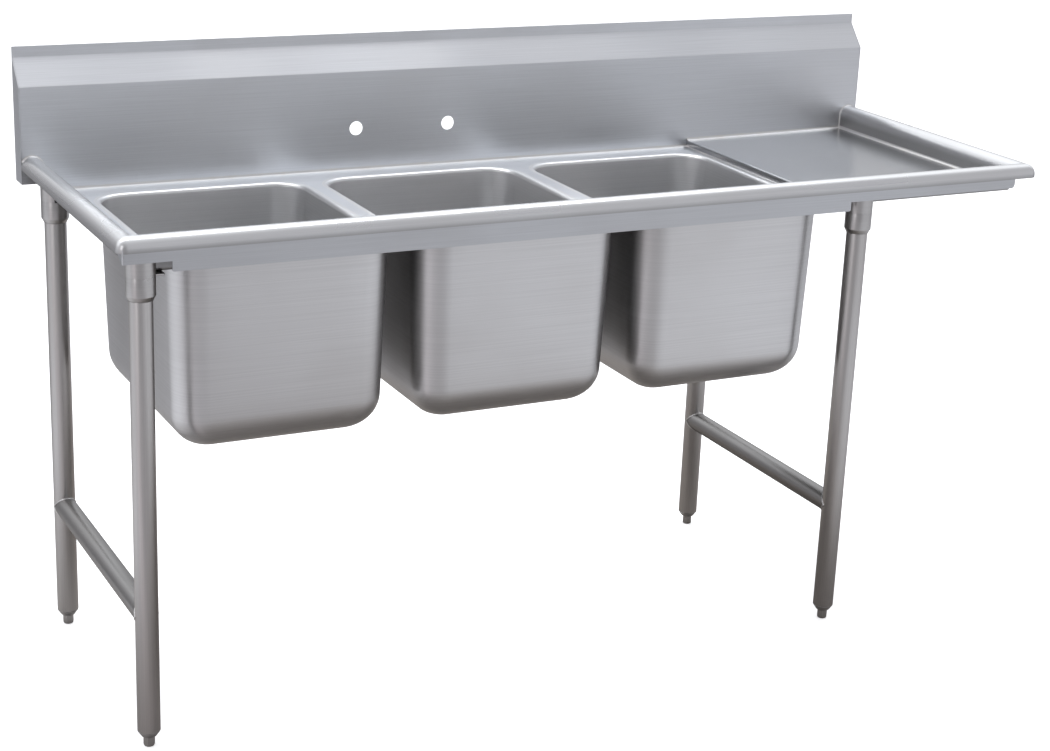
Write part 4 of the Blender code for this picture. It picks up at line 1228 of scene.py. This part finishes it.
class SINK_OT_legs(BuildPiece, bpy.types.Operator):
    """Build the four legs and the two welded cross rails"""

    bl_idname = "sink.legs"
    bl_label = "Legs and Rails"

    def build(self, sheet, bowls, fittings):
        for corner in CORNERS:
            show(corner + "_tube", leg_part(corner, fittings), FINISH["tube"],
                 (corner + "_leg",))
        for side in ("left", "right"):
            rail, welds = rail_part(side, fittings)
            show(side + "_coped_rail", rail, FINISH["rail"], (side + "_cross_rail",))
            show(side + "_rail_welds", welds, FINISH["weld"], sharp=60.0)


class SINK_OT_feet(BuildPiece, bpy.types.Operator):
    """Build the four inserts and the adjustable feet that screw into them"""

    bl_idname = "sink.feet"
    bl_label = "Feet"

    def build(self, sheet, bowls, fittings):
        for corner in CORNERS:
            show(corner + "_threaded_insert", insert_part(corner, fittings), FINISH["hardware"],
                 (corner + "_leg_insert",))
            show(corner + "_hex_foot", foot_part(corner, fittings), FINISH["small"],
                 (corner + "_foot",), corner + "_foot_body", sharp=50.0)


class SINK_OT_drains(BuildPiece, bpy.types.Operator):
    """Build the drain bodies, locknuts and lift-out baskets"""

    bl_idname = "sink.drains"
    bl_label = "Drains"

    def build(self, sheet, bowls, fittings):
        for name in BOWLS:
            show(name + "_drain_cup", drain_part(name, fittings), FINISH["drain"],
                 (name + "_drain_body",))
            show(name + "_lugged_locknut", locknut_part(name), FINISH["hardware"],
                 (name + "_drain_locknut",))
            show(name + "_strainer", basket_part(name), FINISH["drain"],
                 (name + "_drain_basket",), name + "_drain_basket_body")


class SINK_OT_hidden_parts(bpy.types.Operator):
    """Give the parts that keep their packed shape their finishes"""

    bl_idname = "sink.hidden_parts"
    bl_label = "Channel, Screws and Gaskets"

    def execute(self, context):
        kept = {"drainboard_channel": "plain"}
        kept.update({corner + "_set_screw": "small" for corner in CORNERS})
        kept.update({name + "_drain_gasket": "rubber" for name in BOWLS})
        for node, finish in kept.items():
            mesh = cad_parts[node].data
            mesh.materials.clear()
            mesh.materials.append(FINISH[finish])
        return {"FINISHED"}


# Round the sink by compass: (position, brightness, blueness). None is the shaded part in front.
COMPASS = ((0.0, 0.62, 1.0), (0.22, 0.62, 1.0), (0.36, 0.95, 1.0), (0.47, 0.92, 1.0),
           (0.53, None, 0.98), (0.64, None, 0.97), (0.675, 0.95, 0.93), (0.71, 0.80, 0.98),
           (0.76, 1.0, 1.0), (0.83, 0.82, 1.0), (0.87, 0.32, 0.98), (0.90, 0.42, 0.98),
           (0.95, 0.50, 0.99), (1.0, 0.62, 1.0))
# From straight below to straight above: (position, brightness).
RISE = ((0.0, 0.45), (0.46, 0.60), (0.52, 0.75), (0.70, 0.62), (0.90, 0.62), (1.0, 0.85))
WHITE = (1.0, 1.0, 1.0, 1.0)


def surround(tree, way, shade):
    """Light round the sink by compass direction: position 0.5 is its front, 0.75 its left side.
    The shaded part in front keeps reflections of the open side darker."""
    parts = add(tree, "ShaderNodeSeparateXYZ", {0: way}).outputs
    turn = maths(tree, "ARCTAN2", times(tree, parts[0], -1.0), times(tree, parts[1], -1.0))
    levels = [(place, shade if level is None else level, cool) for place, level, cool in COMPASS]
    return colour_ramp(tree, maths(tree, "MULTIPLY_ADD", turn, 0.5 / math.pi, 0.5),
                       [(place, (level, level * cool, level * cool))
                        for place, level, cool in levels])


def second_bounce(tree, path):
    """One for light that metal has already mirrored once."""
    return maths(tree, "GREATER_THAN", path["Glossy Depth"], 1.5)


def studio_floor(tint):
    """Pale floor. Seen directly it is close to white; metal mirrors it darker and warmer, with a
    painted shadow round the sink, and nearly black where metal is seen in other metal: painted
    shade in the recesses between the parts.
    """
    material, tree, given = new_material("studio floor", metallic=0.0)
    given["Roughness"].default_value = 0.85
    given["Specular IOR Level"].default_value = 0.1
    given["Emission Color"].default_value = WHITE
    place = object_place(tree)
    path = add(tree, "ShaderNodeLightPath").outputs
    pale = blend_colour(tree, noise(tree, place, 0.8, 3.0), scaled(tint, 0.985), (*tint, 1.0))
    mirrored = blend_colour(tree, 1.0, surround(tree, place, 0.58), (0.72, 0.72, 0.735, 1.0),
                            "MULTIPLY")
    distance = add(tree, "ShaderNodeVectorMath", {0: place}, operation="LENGTH").outputs["Value"]
    # Painted shadow: as metal mirrors it, the floor is dark and brown near the sink.
    mirrored = blend_colour(tree, band(tree, distance, 0.4, 2.1), (0.26, 0.235, 0.215, 1.0),
                            mirrored)
    # Painted shade: metal seen in other metal shows the floor nearly black.
    mirrored = blend_colour(tree, second_bounce(tree, path), mirrored, (0.05, 0.044, 0.040, 1.0))
    wire(tree, given, Base_Color=blend_colour(tree, path["Is Glossy Ray"], pale, mirrored),
         Emission_Strength=times(tree, path["Is Camera Ray"], 0.6))
    return material


def studio_sky(strength):
    """White surround to the camera; the metal sees it change with height and direction."""
    world = bpy.data.worlds.new("studio surround")
    world.use_nodes = True
    tree = world.node_tree
    tree.nodes.clear()
    way = add(tree, "ShaderNodeTexCoord").outputs["Generated"]
    _, depth, rise = add(tree, "ShaderNodeSeparateXYZ", {0: way}).outputs
    by_height = colour_ramp(tree, maths(tree, "MULTIPLY_ADD", rise, 0.5, 0.5),
                            [(place, (level, level, level * 1.04)) for place, level in RISE])
    path = add(tree, "ShaderNodeLightPath").outputs
    again = second_bounce(tree, path)
    about = surround(tree, way, 0.15)
    level_with = between(tree, maths(tree, "ABSOLUTE", rise), 0.8, 0.0)
    factor = blend_colour(tree, again, blend_colour(tree, level_with, WHITE, about), about)
    high = times(tree, again, band(tree, rise, 0.3, 0.6))
    ceiling = times(tree, band(tree, depth, -0.12, 0.2), band(tree, rise, 0.15, 0.5))
    level = blend_colour(tree, high, by_height, (2.3, 2.36, 2.45, 1.0))
    level = blend_colour(tree, ceiling, level, (1.45, 1.48, 1.52, 1.0))
    lit = blend_colour(tree, 1.0, level, factor, "MULTIPLY")
    shown = blend_colour(tree, path["Is Camera Ray"], lit, WHITE)
    background = add(tree, "ShaderNodeBackground", {"Color": shown, "Strength": strength})
    add(tree, "ShaderNodeOutputWorld", {"Surface": background.outputs[0]})
    return world


def area_light(name, power, size, place, target):
    """Rectangular lamp at a place, turned to look at a target."""
    lamp = bpy.data.lights.new(name, "AREA")
    lamp.shape = "RECTANGLE"
    lamp.size, lamp.size_y = size
    lamp.energy = power
    light = bpy.data.objects.new(name, lamp)
    light.location = place
    away = Vector(target) - Vector(place)
    light.rotation_euler = away.to_track_quat("-Z", "Y").to_euler()
    bpy.context.scene.collection.objects.link(light)
    return light


class SINK_OT_stage(bpy.types.Operator):
    """Build the floor, the lights and the camera"""

    bl_idname = "sink.stage"
    bl_label = "Studio"

    def execute(self, context):
        stage = context.scene.sink_stage
        mesh = bpy.data.meshes.new("studio_floor")
        reach = 45.0
        corners = [(x * reach, y * reach, 0.0) for x, y in ((-1, -1), (1, -1), (1, 1), (-1, 1))]
        mesh.from_pydata(corners, [], [(0, 1, 2, 3)])
        mesh.materials.append(studio_floor(tuple(stage.floor)))
        floor = bpy.data.objects.new("studio_floor", mesh)
        context.scene.collection.objects.link(floor)
        context.scene.world = studio_sky(stage.sky)
        context.scene.view_settings.view_transform = "Standard"
        middle = (LEFT_END + RIGHT_END) / 2
        area_light("overhead_softbox", stage.key, (5.0, 1.1),
                   (middle - 0.2, SPLASH_FACE + 0.75, 4.4), (middle - 0.2, SPLASH_FACE, 0.6))
        area_light("side_softbox", stage.side, (1.2, 2.8), (LEFT_END - 3.0, FRONT - 2.2, 1.8),
                   (middle, 0.0, 0.7))
        yaw, pitch, roll = 0.4768, -0.3207, 0.0412
        forward = Vector((math.sin(yaw) * math.cos(pitch), math.cos(yaw) * math.cos(pitch),
                          math.sin(pitch)))
        right = Vector((math.cos(yaw), -math.sin(yaw), 0.0))
        over = right.cross(forward)
        across = math.cos(roll) * right + math.sin(roll) * over
        upward = math.cos(roll) * over - math.sin(roll) * right
        camera = bpy.data.objects.new("camera", bpy.data.cameras.new("camera"))
        turn = Matrix((across, upward, -forward)).transposed()
        eye = LEFT_END - 0.90675, SPLASH_FACE - 3.85757, 1.82701
        camera.matrix_world = Matrix.Translation(eye) @ turn.to_4x4()
        camera.data.sensor_width = 36.0
        camera.data.lens = stage.lens
        context.scene.collection.objects.link(camera)
        context.scene.camera = camera
        return {"FINISHED"}


OPERATORS = (SINK_OT_finishes, SINK_OT_rim, SINK_OT_deck, SINK_OT_bowls, SINK_OT_drainboard,
             SINK_OT_backsplash, SINK_OT_apron, SINK_OT_sockets, SINK_OT_legs, SINK_OT_feet,
             SINK_OT_drains, SINK_OT_hidden_parts, SINK_OT_stage)
SETTINGS = {"sink_sheet": SheetSizes, "sink_bowls": BowlSizes, "sink_fittings": FittingSizes,
            "sink_finish": FinishSettings, "sink_stage": StageSettings}


class SINK_PT_panel(bpy.types.Panel):
    """Lists the operators and the sizes and colours they read"""

    bl_idname = "SINK_PT_panel"
    bl_label = "Three Compartment Sink"
    bl_space_type = "VIEW_3D"
    bl_region_type = "UI"
    bl_category = "Sink"

    def draw(self, context):
        """Show each operator as a button, then each group of settings."""
        for operator in OPERATORS:
            self.layout.operator(operator.bl_idname)
        for name, kind in SETTINGS.items():
            box = self.layout.box()
            box.label(text=kind.__doc__)
            for label in kind.__annotations__:
                box.prop(getattr(context.scene, name), label)


def register():
    """Register the settings, the operators and the panel."""
    for kind in (*SETTINGS.values(), *OPERATORS, SINK_PT_panel):
        bpy.utils.register_class(kind)
    for name, kind in SETTINGS.items():
        setattr(bpy.types.Scene, name, bpy.props.PointerProperty(type=kind))


def unregister():
    """Take the settings, the operators and the panel away again."""
    for name in SETTINGS:
        delattr(bpy.types.Scene, name)
    for kind in (SINK_PT_panel, *reversed(OPERATORS), *reversed(SETTINGS.values())):
        bpy.utils.unregister_class(kind)


def main():
    """Register the classes and run the operators in order."""
    register()
    for operator in OPERATORS:
        getattr(bpy.ops.sink, operator.bl_idname.split(".")[1])()


if __name__ == "__main__":
    main()
